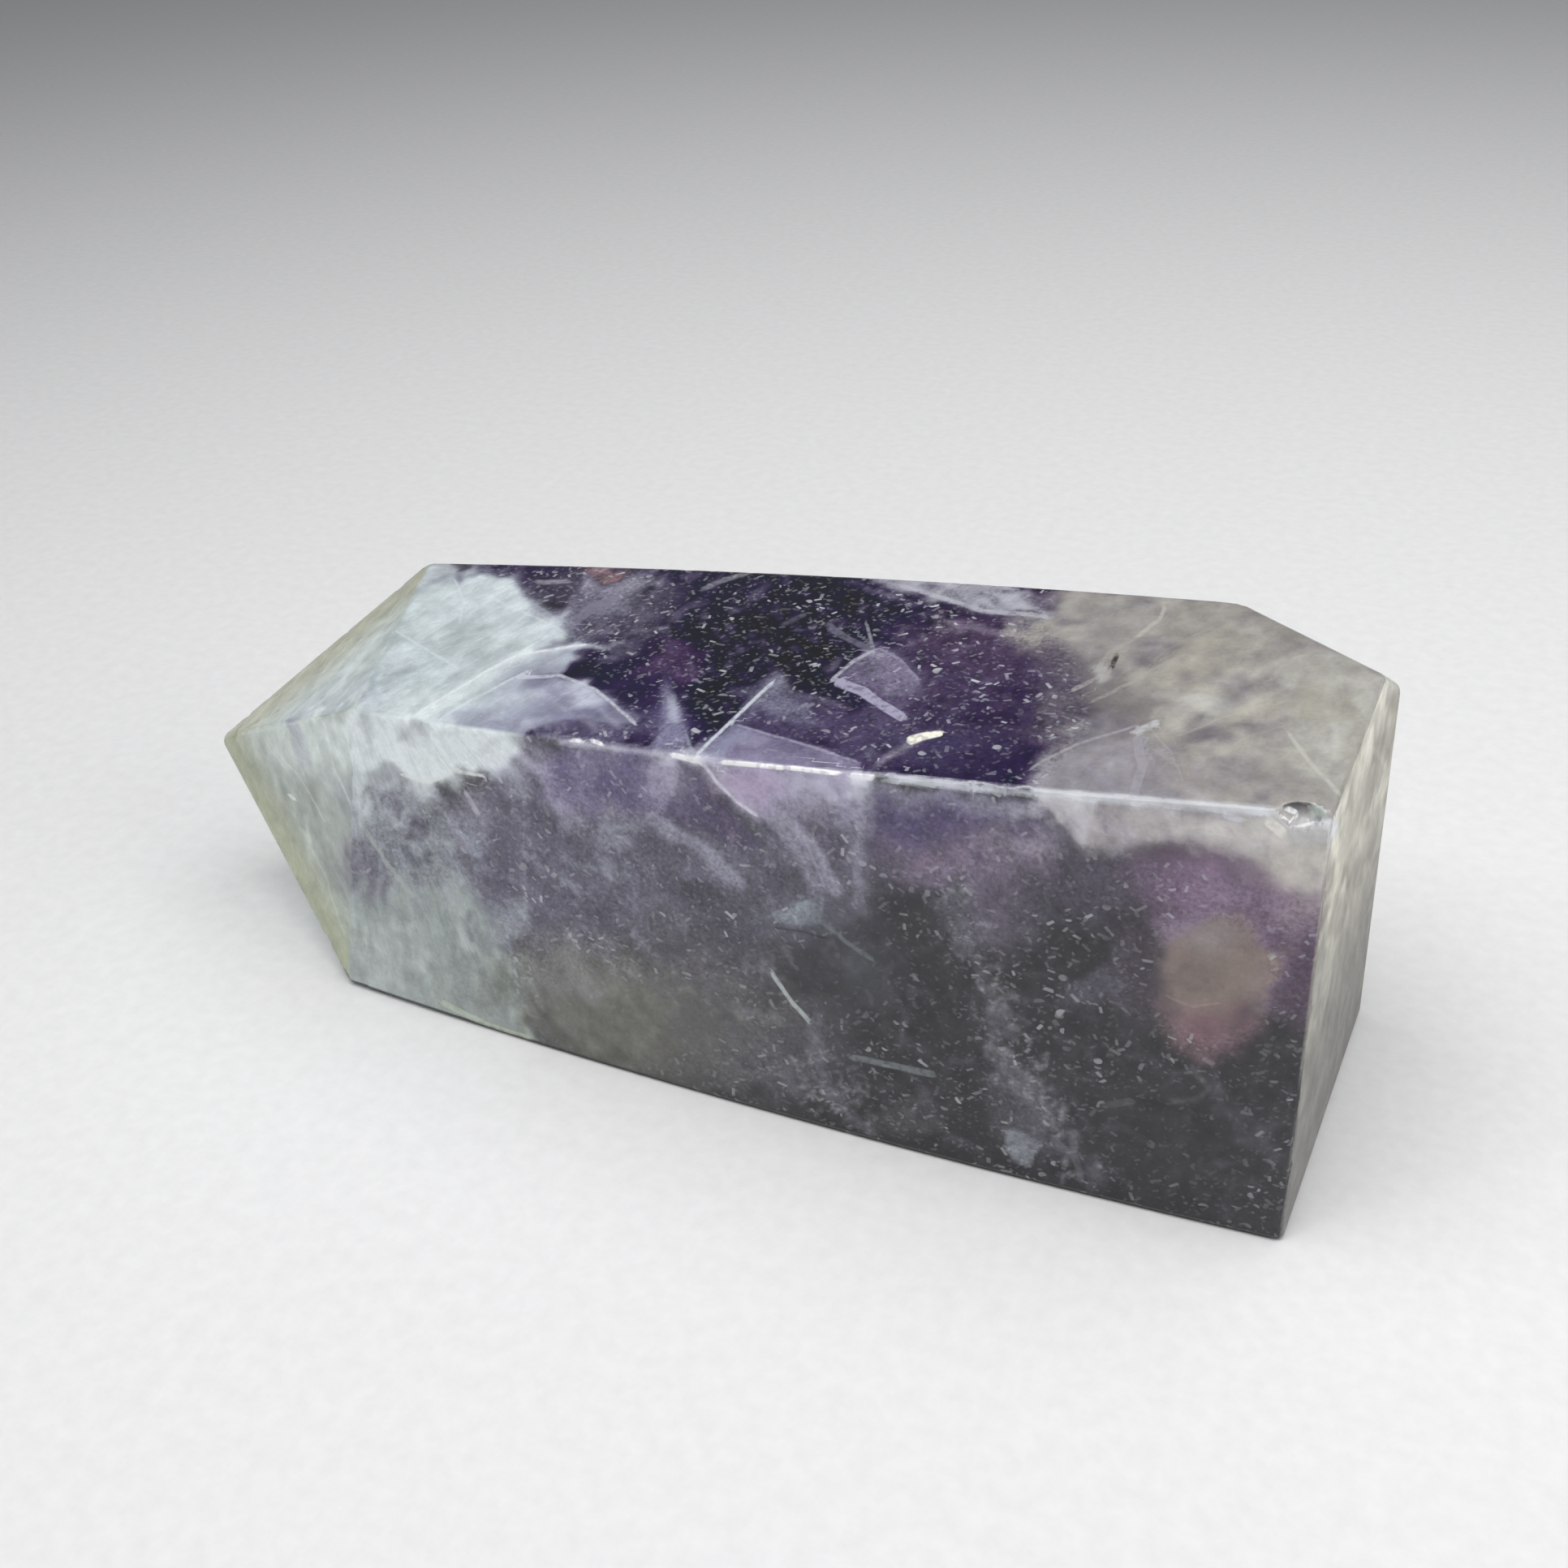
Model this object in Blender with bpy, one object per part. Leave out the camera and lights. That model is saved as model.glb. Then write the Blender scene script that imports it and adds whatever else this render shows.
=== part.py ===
# Unicorn stone point: one hand-cut, polished stone lying on its broadest long side.
# Run it with: blender --background --python part.py
#
# The stone starts as a sawn block with eight corners. Its narrow end is drawn out to a
# four-sided point, its long sides are ground slightly full, one corner of the base is
# knocked off, and every edge is eased by polishing. Metres, +Z up. X runs from the
# point (-X) to the base (+X), and -Y is the broad front side.

import bmesh
import bpy
from mathutils import Vector

MM = 0.001

# Corners of the block in millimetres from the table: X from the point's very tip,
# Y back from the front foot of the base, Z up. Each is named by side and level.
TIP = Vector((-0.4, 11.4, 14.0))
SHOULDER = {
    ("front", "low"): Vector((17.3, 0.6, 0.0)),
    ("front", "high"): Vector((21.1, 3.5, 25.9)),
    ("back", "low"): Vector((14.4, 25.3, 0.0)),
    ("back", "high"): Vector((14.5, 25.0, 26.9)),
}
BASE = {
    ("front", "low"): Vector((92.6, -0.1, 0.0)),
    ("front", "high"): Vector((90.3, 1.4, 34.1)),
    ("back", "low"): Vector((95.5, 25.7, 0.0)),
    ("back", "high"): Vector((92.7, 24.1, 35.8)),
}

# The knocked-off corner passes through these points on the top, base and back faces.
CORNER_ON_TOP = Vector((80.8, 25.1, 34.6))
CORNER_ON_BASE = Vector((91.9, 16.4, 35.2))
CORNER_ON_BACK = Vector((93.1, 24.0, 30.5))

# How far the middle of each long side stands out from straight.
FULLNESS = {"front": -1.2, "back": 1.6}

TOE_LIFT = 0.2        # how far the underside clears the table at the shoulder
TOE_SHARE = 0.35      # share of the body's length over which it does so
EASED_EDGE = 0.5      # how far the rounding of an edge reaches onto each face
EASED_STEPS = 3
STATIONS = 35         # cuts along the body, for the swelling of the long sides
SHARPEST_SMOOTH = 0.4  # radians between two faces with no edge to round between them

# A shell-shaped break on the front ridge, just short of the base.
CHIP = Vector((88.4, 1.55, 33.7))
CHIP_OUTWARD = Vector((0.1, -0.8, 0.6))
CHIP_RADIUS = 1.5
CHIP_BITE = 0.7       # how deep it goes below the sharp ridge
CHIP_ROUNDNESS = 3    # subdivisions of the ball that cuts it

STONE_COLOUR = (0.30, 0.27, 0.33, 1.0)
STONE_ROUGHNESS = 0.12


def clear_scene():
    for obj in list(bpy.data.objects):
        bpy.data.objects.remove(obj)


def corner_names(vertex):
    """Which end, side and level of the block a corner of the unit cube stands for."""
    end = BASE if vertex.co.x > 0 else SHOULDER
    side = "back" if vertex.co.y > 0 else "front"
    level = "high" if vertex.co.z > 0 else "low"
    return end, side, level


def sawn_block(bm):
    """A box whose eight corners are moved to the stone's own corners."""
    bmesh.ops.create_cube(bm, size=2.0)
    for vertex in bm.verts:
        end, side, level = corner_names(vertex)
        vertex.co = end[(side, level)]


def draw_out_point(bm):
    """The face at the narrow end becomes four facets that meet at the tip."""
    shoulder_face = min(bm.faces, key=lambda face: face.calc_center_median().x)
    poked = bmesh.ops.poke(bm, faces=[shoulder_face])
    poked["verts"][0].co = TIP


def long_edges(bm):
    """The four edges that join the shoulder to the base."""
    middle = (SHOULDER[("front", "high")].x + BASE[("front", "high")].x) / 2
    return [e for e in bm.edges if min(v.co.x for v in e.verts) < middle < max(v.co.x for v in e.verts)]


def grind_sides_full(bm):
    """Cuts the body into stations, then swells its long sides and lifts its toe."""
    edges = long_edges(bm)
    ends = {}
    for edge in edges:
        low, high = sorted(edge.verts, key=lambda v: v.co.x)
        side = "back" if low.co.y > TIP.y else "front"
        level = "high" if low.co.z > TIP.z else "low"
        ends[(side, level)] = (low.co.copy(), high.co.copy())
    cut = bmesh.ops.subdivide_edges(bm, edges=edges, cuts=STATIONS, use_grid_fill=True)
    middle_points = [item for item in cut["geom_inner"] if isinstance(item, bmesh.types.BMVert)]
    for vertex in middle_points:
        side, level, along = place_on_body(vertex.co, ends)
        vertex.co.y += FULLNESS[side] * 4 * along * (1 - along)
    for vertex in bm.verts:
        if vertex.co.z < MM and vertex.co.x > TIP.x:
            side, level, along = place_on_body(vertex.co, ends)
            short_of_rest = max(0.0, 1 - along / TOE_SHARE)
            vertex.co.z += TOE_LIFT * short_of_rest**2


def place_on_body(point, ends):
    """The long edge that a point lies on, and how far along it from the shoulder."""
    side = "back" if point.y > TIP.y else "front"
    level = "high" if point.z > TIP.z else "low"
    low, high = ends[(side, level)]
    return side, level, (point.x - low.x) / (high.x - low.x)


def saw_off(bm, point, outward):
    """Cuts away all beyond a plane and closes the stone again with one flat facet."""
    geometry = [*bm.verts, *bm.edges, *bm.faces]
    bmesh.ops.bisect_plane(bm, geom=geometry, plane_co=point, plane_no=outward, clear_outer=True)
    rim = [edge for edge in bm.edges if edge.is_boundary]
    bmesh.ops.holes_fill(bm, edges=rim, sides=0)


def knock_off_corner(bm):
    across_top = CORNER_ON_BASE - CORNER_ON_TOP
    down_back = CORNER_ON_BACK - CORNER_ON_TOP
    outward = across_top.cross(down_back).normalized()
    saw_off(bm, CORNER_ON_TOP, outward)


def ease_edges(bm):
    sharp = [edge for edge in bm.edges if edge.calc_face_angle() > SHARPEST_SMOOTH]
    bmesh.ops.bevel(
        bm,
        geom=sharp,
        offset=EASED_EDGE,
        offset_type="OFFSET",
        segments=EASED_STEPS,
        profile=0.5,
        affect="EDGES",
        clamp_overlap=False,
    )


def centre_on_table(bm):
    """Millimetres to metres, with the origin at the middle of the box's underside.

    Returns the move, so that what is placed in the block's own millimetres can follow.
    """
    bmesh.ops.scale(bm, vec=(MM, MM, MM), verts=bm.verts)
    low = Vector(min(v.co[axis] for v in bm.verts) for axis in range(3))
    high = Vector(max(v.co[axis] for v in bm.verts) for axis in range(3))
    middle = (low + high) / 2
    move = Vector((-middle.x, -middle.y, -low.z))
    bmesh.ops.translate(bm, vec=move, verts=bm.verts)
    return move


def stone_material():
    material = bpy.data.materials.new("unicorn_stone")
    material.use_nodes = True
    shader = material.node_tree.nodes["Principled BSDF"]
    shader.inputs["Base Color"].default_value = STONE_COLOUR
    shader.inputs["Roughness"].default_value = STONE_ROUGHNESS
    shader.inputs["Metallic"].default_value = 0.0
    return material


def chip_cutter(collection, move):
    """A ball that stands out from the ridge and takes a shell-shaped bite of it."""
    bm = bmesh.new()
    bmesh.ops.create_icosphere(bm, subdivisions=CHIP_ROUNDNESS, radius=CHIP_RADIUS * MM)
    mesh = bpy.data.meshes.new("chip_cutter")
    bm.to_mesh(mesh)
    bm.free()
    ball = bpy.data.objects.new("chip_cutter", mesh)
    ball.location = (CHIP + CHIP_OUTWARD.normalized() * (CHIP_RADIUS - CHIP_BITE)) * MM + move
    ball.hide_render = True
    ball.display_type = "WIRE"
    collection.objects.link(ball)
    return ball


def chip_ridge(obj, cutter):
    chip = obj.modifiers.new("chipped_ridge", "BOOLEAN")
    chip.operation = "DIFFERENCE"
    chip.solver = "EXACT"
    chip.object = cutter


def stone_point(collection, cutters):
    bm = bmesh.new()
    sawn_block(bm)
    draw_out_point(bm)
    grind_sides_full(bm)
    knock_off_corner(bm)
    ease_edges(bm)
    move = centre_on_table(bm)
    bmesh.ops.recalc_face_normals(bm, faces=bm.faces)
    mesh = bpy.data.meshes.new("stone_point")
    bm.to_mesh(mesh)
    bm.free()
    mesh.shade_smooth()
    mesh.set_sharp_from_angle(angle=SHARPEST_SMOOTH)
    mesh.materials.append(stone_material())
    obj = bpy.data.objects.new("stone_point", mesh)
    collection.objects.link(obj)
    chip_ridge(obj, chip_cutter(cutters, move))
    return obj


def main():
    clear_scene()
    collection = bpy.data.collections.new("unicorn_stone_point")
    cutters = bpy.data.collections.new("cutters")
    bpy.context.scene.collection.children.link(collection)
    bpy.context.scene.collection.children.link(cutters)
    stone_point(collection, cutters)


main()
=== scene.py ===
"""A polished unicorn stone point on a plain pale floor, in soft studio light.

Lengths are in millimetres until they reach Blender, which works in metres. The stone's markings are laid on a
fine copy of its mesh: zones that run right through the stone, and then marks whose places are pixels of the
1932 x 1932 reference frame, laid on the five sides that the frame shows. Some of the laid colour is painted
light: highlights on the ridge, shade along the tip's rims and a contact shadow on the edge on the floor.
"""

import math

import bmesh
import bpy
import numpy as np
from mathutils import Matrix, Vector


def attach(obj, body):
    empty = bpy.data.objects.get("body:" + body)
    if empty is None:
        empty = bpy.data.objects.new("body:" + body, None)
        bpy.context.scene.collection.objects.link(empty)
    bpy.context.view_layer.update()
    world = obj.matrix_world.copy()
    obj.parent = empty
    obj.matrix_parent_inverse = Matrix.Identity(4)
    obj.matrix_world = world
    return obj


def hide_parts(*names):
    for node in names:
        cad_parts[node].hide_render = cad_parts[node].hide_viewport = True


MM = 0.001

# Large odd numbers that scramble the noise
SCRAMBLE_X, SCRAMBLE_Y, SCRAMBLE_Z, SCRAMBLE_SEED = 374761393, 668265263, 1440662683, 974634777
SCRAMBLE_AGAIN = 1274126177

# The reference frame and the camera that sees the stone as it does. The camera's place is in millimetres, its
# turns are in degrees, and the nearest and farthest that it sees are in metres
FRAME_PIXELS = 1932
FOCAL_PIXELS = 1972.0
SENSOR_MM = 36.0
CAMERA_PLACE = (41.552, -91.887, 87.720)
CAMERA_TURN = 22.29
CAMERA_TILT = 55.68
CAMERA_ROLL = -1.62
NEAREST_SEEN, FARTHEST_SEEN = 0.005, 20.0

# The fine copy of the stone. Strips narrower than NARROWEST belong to the eased edges and aren't cut further
FINE_CELL = 0.295
BASE_CELL = 0.4
HIDDEN_CELL = 1.2
NARROWEST = 0.2
WAVE_LENGTH = 8.0
WAVE_DEPTH = 0.012
WAVE_SEED = 301
NICK_LENGTH = 0.9
NICK_DEPTH = 0.09
NICK_SEED = 331

# In pixels: how far from a thin line the mesh still knows of it, what a millimetre takes up in the frame, and
# how far from the middle of a fan its fibres have their true width
VEIN_REACH = 20.0
PIXELS_PER_MM = 20.0
FAN_RADIUS = 450.0

# Fibres are drawn this many times as long as they are wide
FIBRE_STRETCH = 7.0

# Zones run right through the stone, turned by this many radians about a slanting axis, and swirled by this
# many millimetres
ZONE_SLANT = 0.9
ZONE_AXIS = (0.4, 0.8, 0.5)
ZONE_SWIRL = 2.2
ZONE_GROUND = (68.0, 65.0, 75.0)
ZONE_TIP, ZONE_BASE, ZONE_WHITE = (176, 185, 183), (160, 155, 148), (206, 214, 216)

# Tints in the zones: lump in millimetres, seed, noise at which the tint starts and is full, strength, colour
ZONE_TINTS = (
    (9.0, 97, 0.48, 0.70, 0.8, (96, 86, 112)),
    (7.0, 113, 0.54, 0.74, 0.7, (104, 104, 98)),
    (4.5, 127, 0.58, 0.80, 0.6, (140, 136, 156)),
)

# Light that each side gives back: what a perfectly white side would show, and its gloss, both in linear light
SIDE_LIGHT = {
    "top": (1.05, 0.023),
    "front": (0.66, 0.041),
    "tip_top": (0.63, 0.105),
    "tip_front": (0.59, 0.088),
    "base": (0.55, 0.050),
    "hidden": (0.70, 0.035),
}

# The darkest and the lightest colour that the surface may have
DARKEST, LIGHTEST = 0.006, 0.97

# The stone's outline round its tip, in the frame
TIP_END, UPPER_CORNER, LOWER_CORNER = (275, 912), (530, 694), (434, 1204)

# Colours of the painted shade along the tip's rims, the foot of the base, the frosted ridge with its painted
# highlight, and the painted contact shadow on the edge that lies on the floor
UPPER_RIM_SHADE_COLOUR, LOWER_RIM_SHADE_COLOUR = (164, 164, 148), (160, 164, 142)
BASE_FOOT_COLOUR, FROST_AND_HIGHLIGHT_COLOUR, CONTACT_SHADOW_COLOUR = (112, 111, 110), (204, 208, 214), (34, 34, 36)

# Mottling of the stone: noise scale, detail, roughness and distortion, and its depth without and with mica
MOTTLING = ((1.1, 3.0, 0.6, 0.8, 0.05, 0.20), (3.4, 2.0, 0.6, 0.4, 0.05, 0.42))

# Mica flecks: size of the cells in millimetres, share of them that holds a fleck, its reach and thickness,
# shift of the cells, and brightness
FLECKS = (
    (0.36, 0.55, 0.17, 0.09, 3.0, 0.30),
    (0.62, 0.45, 0.29, 0.11, 11.0, 0.80),
    (1.3, 0.4, 0.42, 0.13, 23.0, 1.0),
)
FLECK_COLOUR = (0.66, 0.67, 0.72, 1)
FLECK_DRAW, FLECK_SECOND_DRAW = (7.31, 13.77, 29.13), 57.7
STONE_IOR = 1.54

# The floor lies a hair under the stone, so that it and the side that rests on it don't share one plane. The
# gap is in millimetres and the width in metres
FLOOR_GAP = 0.03
FLOOR_WIDTH = 4.0
FLOOR_TONES = (0.80, 0.85)
FLOOR_GRAIN = 700.0

# Lights: place and aim, then width, all in metres, and power in watts
LIGHTS = {
    "soft box": ((-0.07, -0.10, 0.45), (0.4, 0.0, 0.0), 0.36, 1.36),
    "second soft box": ((0.15, 0.05, 0.45), (0.0, -0.05, 0.0), 0.36, 0.74),
    "window on the right": ((0.38, -0.02, 0.24), (0.0, -0.05, 0.0), 0.26, 0.36),
    "small lamp": ((-0.25, -0.24, 0.40), (0.005, -0.01, 0.03), 0.04, 0.10),
}
ROOM_COLOUR = (0.95, 0.97, 1.0, 1)
ROOM_STRENGTH = 0.20


def camera_matrix():
    turn = Matrix.Rotation(math.radians(CAMERA_TURN), 4, "Z")
    tilt = Matrix.Rotation(math.radians(CAMERA_TILT), 4, "X")
    roll = Matrix.Rotation(math.radians(CAMERA_ROLL), 4, "Z")
    return Matrix.Translation(Vector(CAMERA_PLACE) * MM) @ turn @ tilt @ roll


def add_camera():
    data = bpy.data.cameras.new("camera")
    data.sensor_width = SENSOR_MM
    data.lens = FOCAL_PIXELS / FRAME_PIXELS * SENSOR_MM
    data.clip_start = NEAREST_SEEN
    data.clip_end = FARTHEST_SEEN
    camera = bpy.data.objects.new("camera", data)
    camera.matrix_world = camera_matrix()
    bpy.context.scene.collection.objects.link(camera)
    bpy.context.scene.camera = camera


def in_frame(places):
    """The reference frame's pixel at which the camera sees each place."""
    seen_from = np.array(camera_matrix().inverted())
    spots = places * MM @ seen_from[:3, :3].T + seen_from[:3, 3]
    across = FRAME_PIXELS / 2 + FOCAL_PIXELS * spots[:, 0] / -spots[:, 2]
    down = FRAME_PIXELS / 2 - FOCAL_PIXELS * spots[:, 1] / -spots[:, 2]
    return np.stack([across, down], 1)


# Noise, evaluated at places in millimetres
def lattice(cell, seed):
    """A number from 0 to 1 for each cell, the same at every run."""
    n = cell[..., 0] * SCRAMBLE_X + cell[..., 1] * SCRAMBLE_Y + cell[..., 2] * SCRAMBLE_Z
    n += seed * SCRAMBLE_SEED
    n = (n ^ (n >> 13)) & 0xFFFFFFFF
    n = (n * SCRAMBLE_AGAIN) & 0xFFFFFFFF
    n = (n ^ (n >> 16)) & 0xFFFF
    return n / 65535.0


def noise(places, lump, seed):
    """Smooth noise from 0 to 1, with lumps of about that many millimetres."""
    scaled = places / lump
    cell = np.floor(scaled).astype(np.int64)
    part = scaled - cell
    part = part * part * (3 - 2 * part)
    total = np.zeros(len(places))
    for corner in np.ndindex(2, 2, 2):
        share = np.prod(np.where(corner, part, 1 - part), axis=1)
        total += share * lattice(cell + np.array(corner), seed)
    return total


def cloud(places, lump, seed, octaves=4):
    """Ever finer noise laid over itself, from 0 to 1 and mostly near the middle."""
    total = np.zeros(len(places))
    shares = 0.0
    for octave in range(octaves):
        share = 0.55**octave
        total += share * noise(places, lump / 2**octave, seed + octave)
        shares += share
    return total / shares


def ripple(places, lump, seed, octaves=4):
    """Cloud noise stretched to swing between about -1 and 1."""
    return np.clip((cloud(places, lump, seed, octaves) - 0.5) * 4.2, -1.3, 1.3)


def ramp(value, low, high):
    share = np.clip((value - low) / (high - low), 0, 1)
    return share * share * (3 - 2 * share)


# Fine copy of the stone
def slice_faces(bm, faces, axis, cuts):
    """Cuts the faces by planes square to an axis, the middle plane first and then each half."""
    if not cuts or not faces:
        return
    middle = len(cuts) // 2
    place, normal = Vector(), Vector()
    place[axis] = cuts[middle]
    normal[axis] = 1
    edges = {edge for face in faces for edge in face.edges}
    corners = {corner for face in faces for corner in face.verts}
    made = bmesh.ops.bisect_plane(
        bm, geom=[*faces, *edges, *corners], dist=1e-7, plane_co=place, plane_no=normal
    )
    faces = [part for part in made["geom"] if isinstance(part, bmesh.types.BMFace)]
    below = [face for face in faces if face.calc_center_median()[axis] < cuts[middle]]
    above = [face for face in faces if face.calc_center_median()[axis] >= cuts[middle]]
    slice_faces(bm, below, axis, cuts[:middle])
    slice_faces(bm, above, axis, cuts[middle + 1 :])


def cuts_along(bm, axis, cell):
    heights = [corner.co[axis] for corner in bm.verts]
    count = int((max(heights) - min(heights)) / (cell * MM))
    start = min(heights) + cell * MM / 2
    return [start + step * cell * MM for step in range(count)]


def wide_faces(bm, keep):
    """The faces of one side of the stone. The narrow faces of its eased edges are left out."""
    smallest = NARROWEST * FINE_CELL * MM**2
    return [face for face in bm.faces if keep(face.normal) and face.calc_area() > smallest]


def fine_copy(node):
    """A copy of the stone's mesh, cut into small cells so that marks and fine relief can be laid on it."""
    bm = bmesh.new()
    bm.from_mesh(node.data)
    bmesh.ops.remove_doubles(bm, verts=bm.verts, dist=1e-6)
    bmesh.ops.join_triangles(
        bm, faces=bm.faces, angle_face_threshold=0.01, angle_shape_threshold=math.pi
    )
    bm.normal_update()
    # Each side's normals, the axis across it and the size of its cells
    sides = (
        (lambda n: n.z > 0.86 or (n.x < -0.25 and n.z > 0.3), 1, FINE_CELL),
        (lambda n: n.y < -0.9 or (n.x < -0.25 and n.y < -0.3), 2, FINE_CELL),
        (lambda n: n.x > 0.9, 1, BASE_CELL),
        (lambda n: n.x > 0.9, 2, BASE_CELL),
        (lambda n: n.z < -0.9 or (n.x < -0.25 and n.z < -0.3), 1, HIDDEN_CELL),
        (lambda n: n.y > 0.9 or (n.x < -0.25 and n.y > 0.3), 2, HIDDEN_CELL),
    )
    slice_faces(bm, list(bm.faces), 0, cuts_along(bm, 0, FINE_CELL))
    for keep, axis, cell in sides:
        slice_faces(bm, wide_faces(bm, keep), axis, cuts_along(bm, axis, cell))
    bm.normal_update()
    mesh = bpy.data.meshes.new("polished_stone")
    bm.to_mesh(mesh)
    bm.free()
    mesh.shade_smooth()
    stone = bpy.data.objects.new("polished_stone", mesh)
    bpy.context.scene.collection.objects.link(stone)
    return stone


def read_places(mesh):
    flat = np.empty(len(mesh.vertices) * 3)
    mesh.vertices.foreach_get("co", flat)
    return flat.reshape(-1, 3) / MM


def read_normals(mesh):
    flat = np.empty(len(mesh.vertices) * 3, np.float32)
    mesh.vertex_normals.foreach_get("vector", flat)
    return flat.reshape(-1, 3).astype(float)


def hand_ground(mesh):
    """Faint waves of hand polishing, and small nicks along the eased edges."""
    places, normals = read_places(mesh), read_normals(mesh)
    wave = (cloud(places, WAVE_LENGTH, WAVE_SEED, 2) - 0.5) * 2 * WAVE_DEPTH
    on_edge = ramp(np.abs(normals).max(1), 0.93, 0.80)
    nick = ramp(cloud(places, NICK_LENGTH, NICK_SEED, 2), 0.62, 0.80) * on_edge * NICK_DEPTH
    moved = places + normals * (wave - nick)[:, None]
    low = places[:, 2].min()
    moved[:, 2] = np.maximum(moved[:, 2], low)
    mesh.vertices.foreach_set("co", (moved * MM).ravel())
    mesh.update()


# Marks on the stone
def along(points, start, end):
    """How far along the line from start to end each point's foot lies, from 0 to 1, and its distance."""
    start, end = np.array(start, float), np.array(end, float)
    line = end - start
    share = np.clip((points - start) @ line / (line @ line), 0, 1)
    return share, np.linalg.norm(points - start - share[:, None] * line, axis=1)


def depth_inside(points, corners):
    """How far each point lies inside an outline, negative outside it."""
    nearest = np.full(len(points), 1e9)
    inside = np.zeros(len(points), bool)
    for (ax, ay), (bx, by) in zip(corners, np.roll(corners, -1, 0)):
        nearest = np.minimum(nearest, along(points, (ax, ay), (bx, by))[1])
        crosses = (ay > points[:, 1]) != (by > points[:, 1])
        rise = by - ay if by != ay else 1.0
        inside ^= crosses & (points[:, 0] < ax + (points[:, 1] - ay) / rise * (bx - ax))
    return np.where(inside, nearest, -nearest)


class Spot:
    """An oval mark with a soft rim."""

    def __init__(self, centre, radii, colour, strength=1.0, soft=0.5, turn=0.0, ragged=14.0):
        self.centre, self.radii, self.turn = np.array(centre, float), radii, math.radians(turn)
        self.colour, self.strength, self.soft, self.ragged = colour, strength, soft, ragged

    def share(self, points):
        offset = points - self.centre
        cosine, sine = math.cos(self.turn), math.sin(self.turn)
        u = (offset[:, 0] * cosine + offset[:, 1] * sine) / self.radii[0]
        v = (offset[:, 1] * cosine - offset[:, 0] * sine) / self.radii[1]
        return ramp(np.sqrt(u * u + v * v), 1 + self.soft, 1 - self.soft)


class Patch:
    """A mark with a drawn outline, soft over a few pixels. It may fade from one point to another."""

    def __init__(self, corners, colour, strength=1.0, soft=8.0, ragged=14.0, fade=None):
        self.corners, self.fade = np.array(corners, float), fade
        self.colour, self.strength, self.soft, self.ragged = colour, strength, soft, ragged

    def share(self, points):
        low, high = self.corners.min(0) - self.soft, self.corners.max(0) + self.soft
        near = np.all((points > low) & (points < high), axis=1)
        share = np.zeros(len(points))
        share[near] = ramp(depth_inside(points[near], self.corners), -self.soft, self.soft)
        if self.fade:
            start, end, left = self.fade
            share *= 1 - along(points, start, end)[0] * (1 - left)
        return share


class Streak:
    """A line through a few points, whose width may change from its start to its end."""

    def __init__(self, points, width, colour, strength=1.0, soft=3.0, ragged=6.0, end=None):
        self.points, self.width, self.end = np.array(points, float), width, width if end is None else end
        self.colour, self.strength, self.soft, self.ragged = colour, strength, soft, ragged

    @property
    def crisp(self):
        """Whether the shader draws this line, because it is too thin for the mesh to hold."""
        return self.soft <= 3

    def beside(self, points):
        """Each point's distance from the line, negative on one side, how far past its ends, half width."""
        off, past, half = (np.full(len(points), value) for value in (1e9, 0.0, 1.0))
        pieces = len(self.points) - 1
        for number, (start, end) in enumerate(zip(self.points, self.points[1:])):
            step = end - start
            length = np.linalg.norm(step)
            part, far = along(points, start, end)
            run = (points - start) @ step / length
            over = np.zeros(len(points))
            if number == 0:
                over = np.maximum(over, -run)
            if number == pieces - 1:
                over = np.maximum(over, run - length)
            turn = np.where((points - start) @ np.array([step[1], -step[0]]) < 0, -1, 1)
            closer = far < np.abs(off)
            off, past = np.where(closer, far * turn, off), np.where(closer, over, past)
            width = self.width + (self.end - self.width) * (number + part) / pieces
            half = np.where(closer, width / 2, half)
        return off, past, half

    def share(self, points):
        margin = max(self.width, self.end) + self.soft
        low, high = self.points.min(0) - margin, self.points.max(0) + margin
        near = np.all((points > low) & (points < high), axis=1)
        closest = np.full(near.sum(), 1e9)
        pieces = len(self.points) - 1
        for number, (start, end) in enumerate(zip(self.points, self.points[1:])):
            part, far = along(points[near], start, end)
            half = (self.width + (self.end - self.width) * (number + part) / pieces) / 2
            closest = np.minimum(closest, far - half)
        share = np.zeros(len(points))
        share[near] = ramp(closest, self.soft, -self.soft)
        return share


class Wisps:
    """Many short soft streaks in an outline, on one heading or fanning out from a point."""

    def __init__(self, corners, count, heading, spread, lengths, widths, colours, strengths, seed):
        self.corners, self.count, self.heading = np.array(corners, float), count, heading
        self.spread, self.lengths, self.widths = math.radians(spread), lengths, widths
        self.colours, self.strengths, self.seed = colours, strengths, seed

    def streaks(self):
        draw = np.random.default_rng(self.seed)
        low, high = self.corners.min(0), self.corners.max(0)
        starts = draw.uniform(low, high, (self.count * 6, 2))
        starts = starts[depth_inside(starts, self.corners) > 0][: self.count]
        made = []
        for start in starts:
            if isinstance(self.heading, tuple):
                turn = math.atan2(start[1] - self.heading[1], start[0] - self.heading[0])
            else:
                turn = math.radians(self.heading)
            turn += draw.normal(0, self.spread)
            way = np.array([math.cos(turn), math.sin(turn)])
            length = draw.uniform(*self.lengths) * draw.uniform(0.5, 1)
            bend = draw.normal(0, 0.12) * length * np.array([-way[1], way[0]])
            width = draw.uniform(*self.widths)
            colour = self.colours[draw.integers(len(self.colours))]
            line = [start, start + way * length / 2 + bend, start + way * length]
            strength = draw.uniform(*self.strengths)
            made.append(
                Streak(line, width, colour, strength, soft=width * 0.7, ragged=4.0, end=width * 0.3)
            )
        return made


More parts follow.
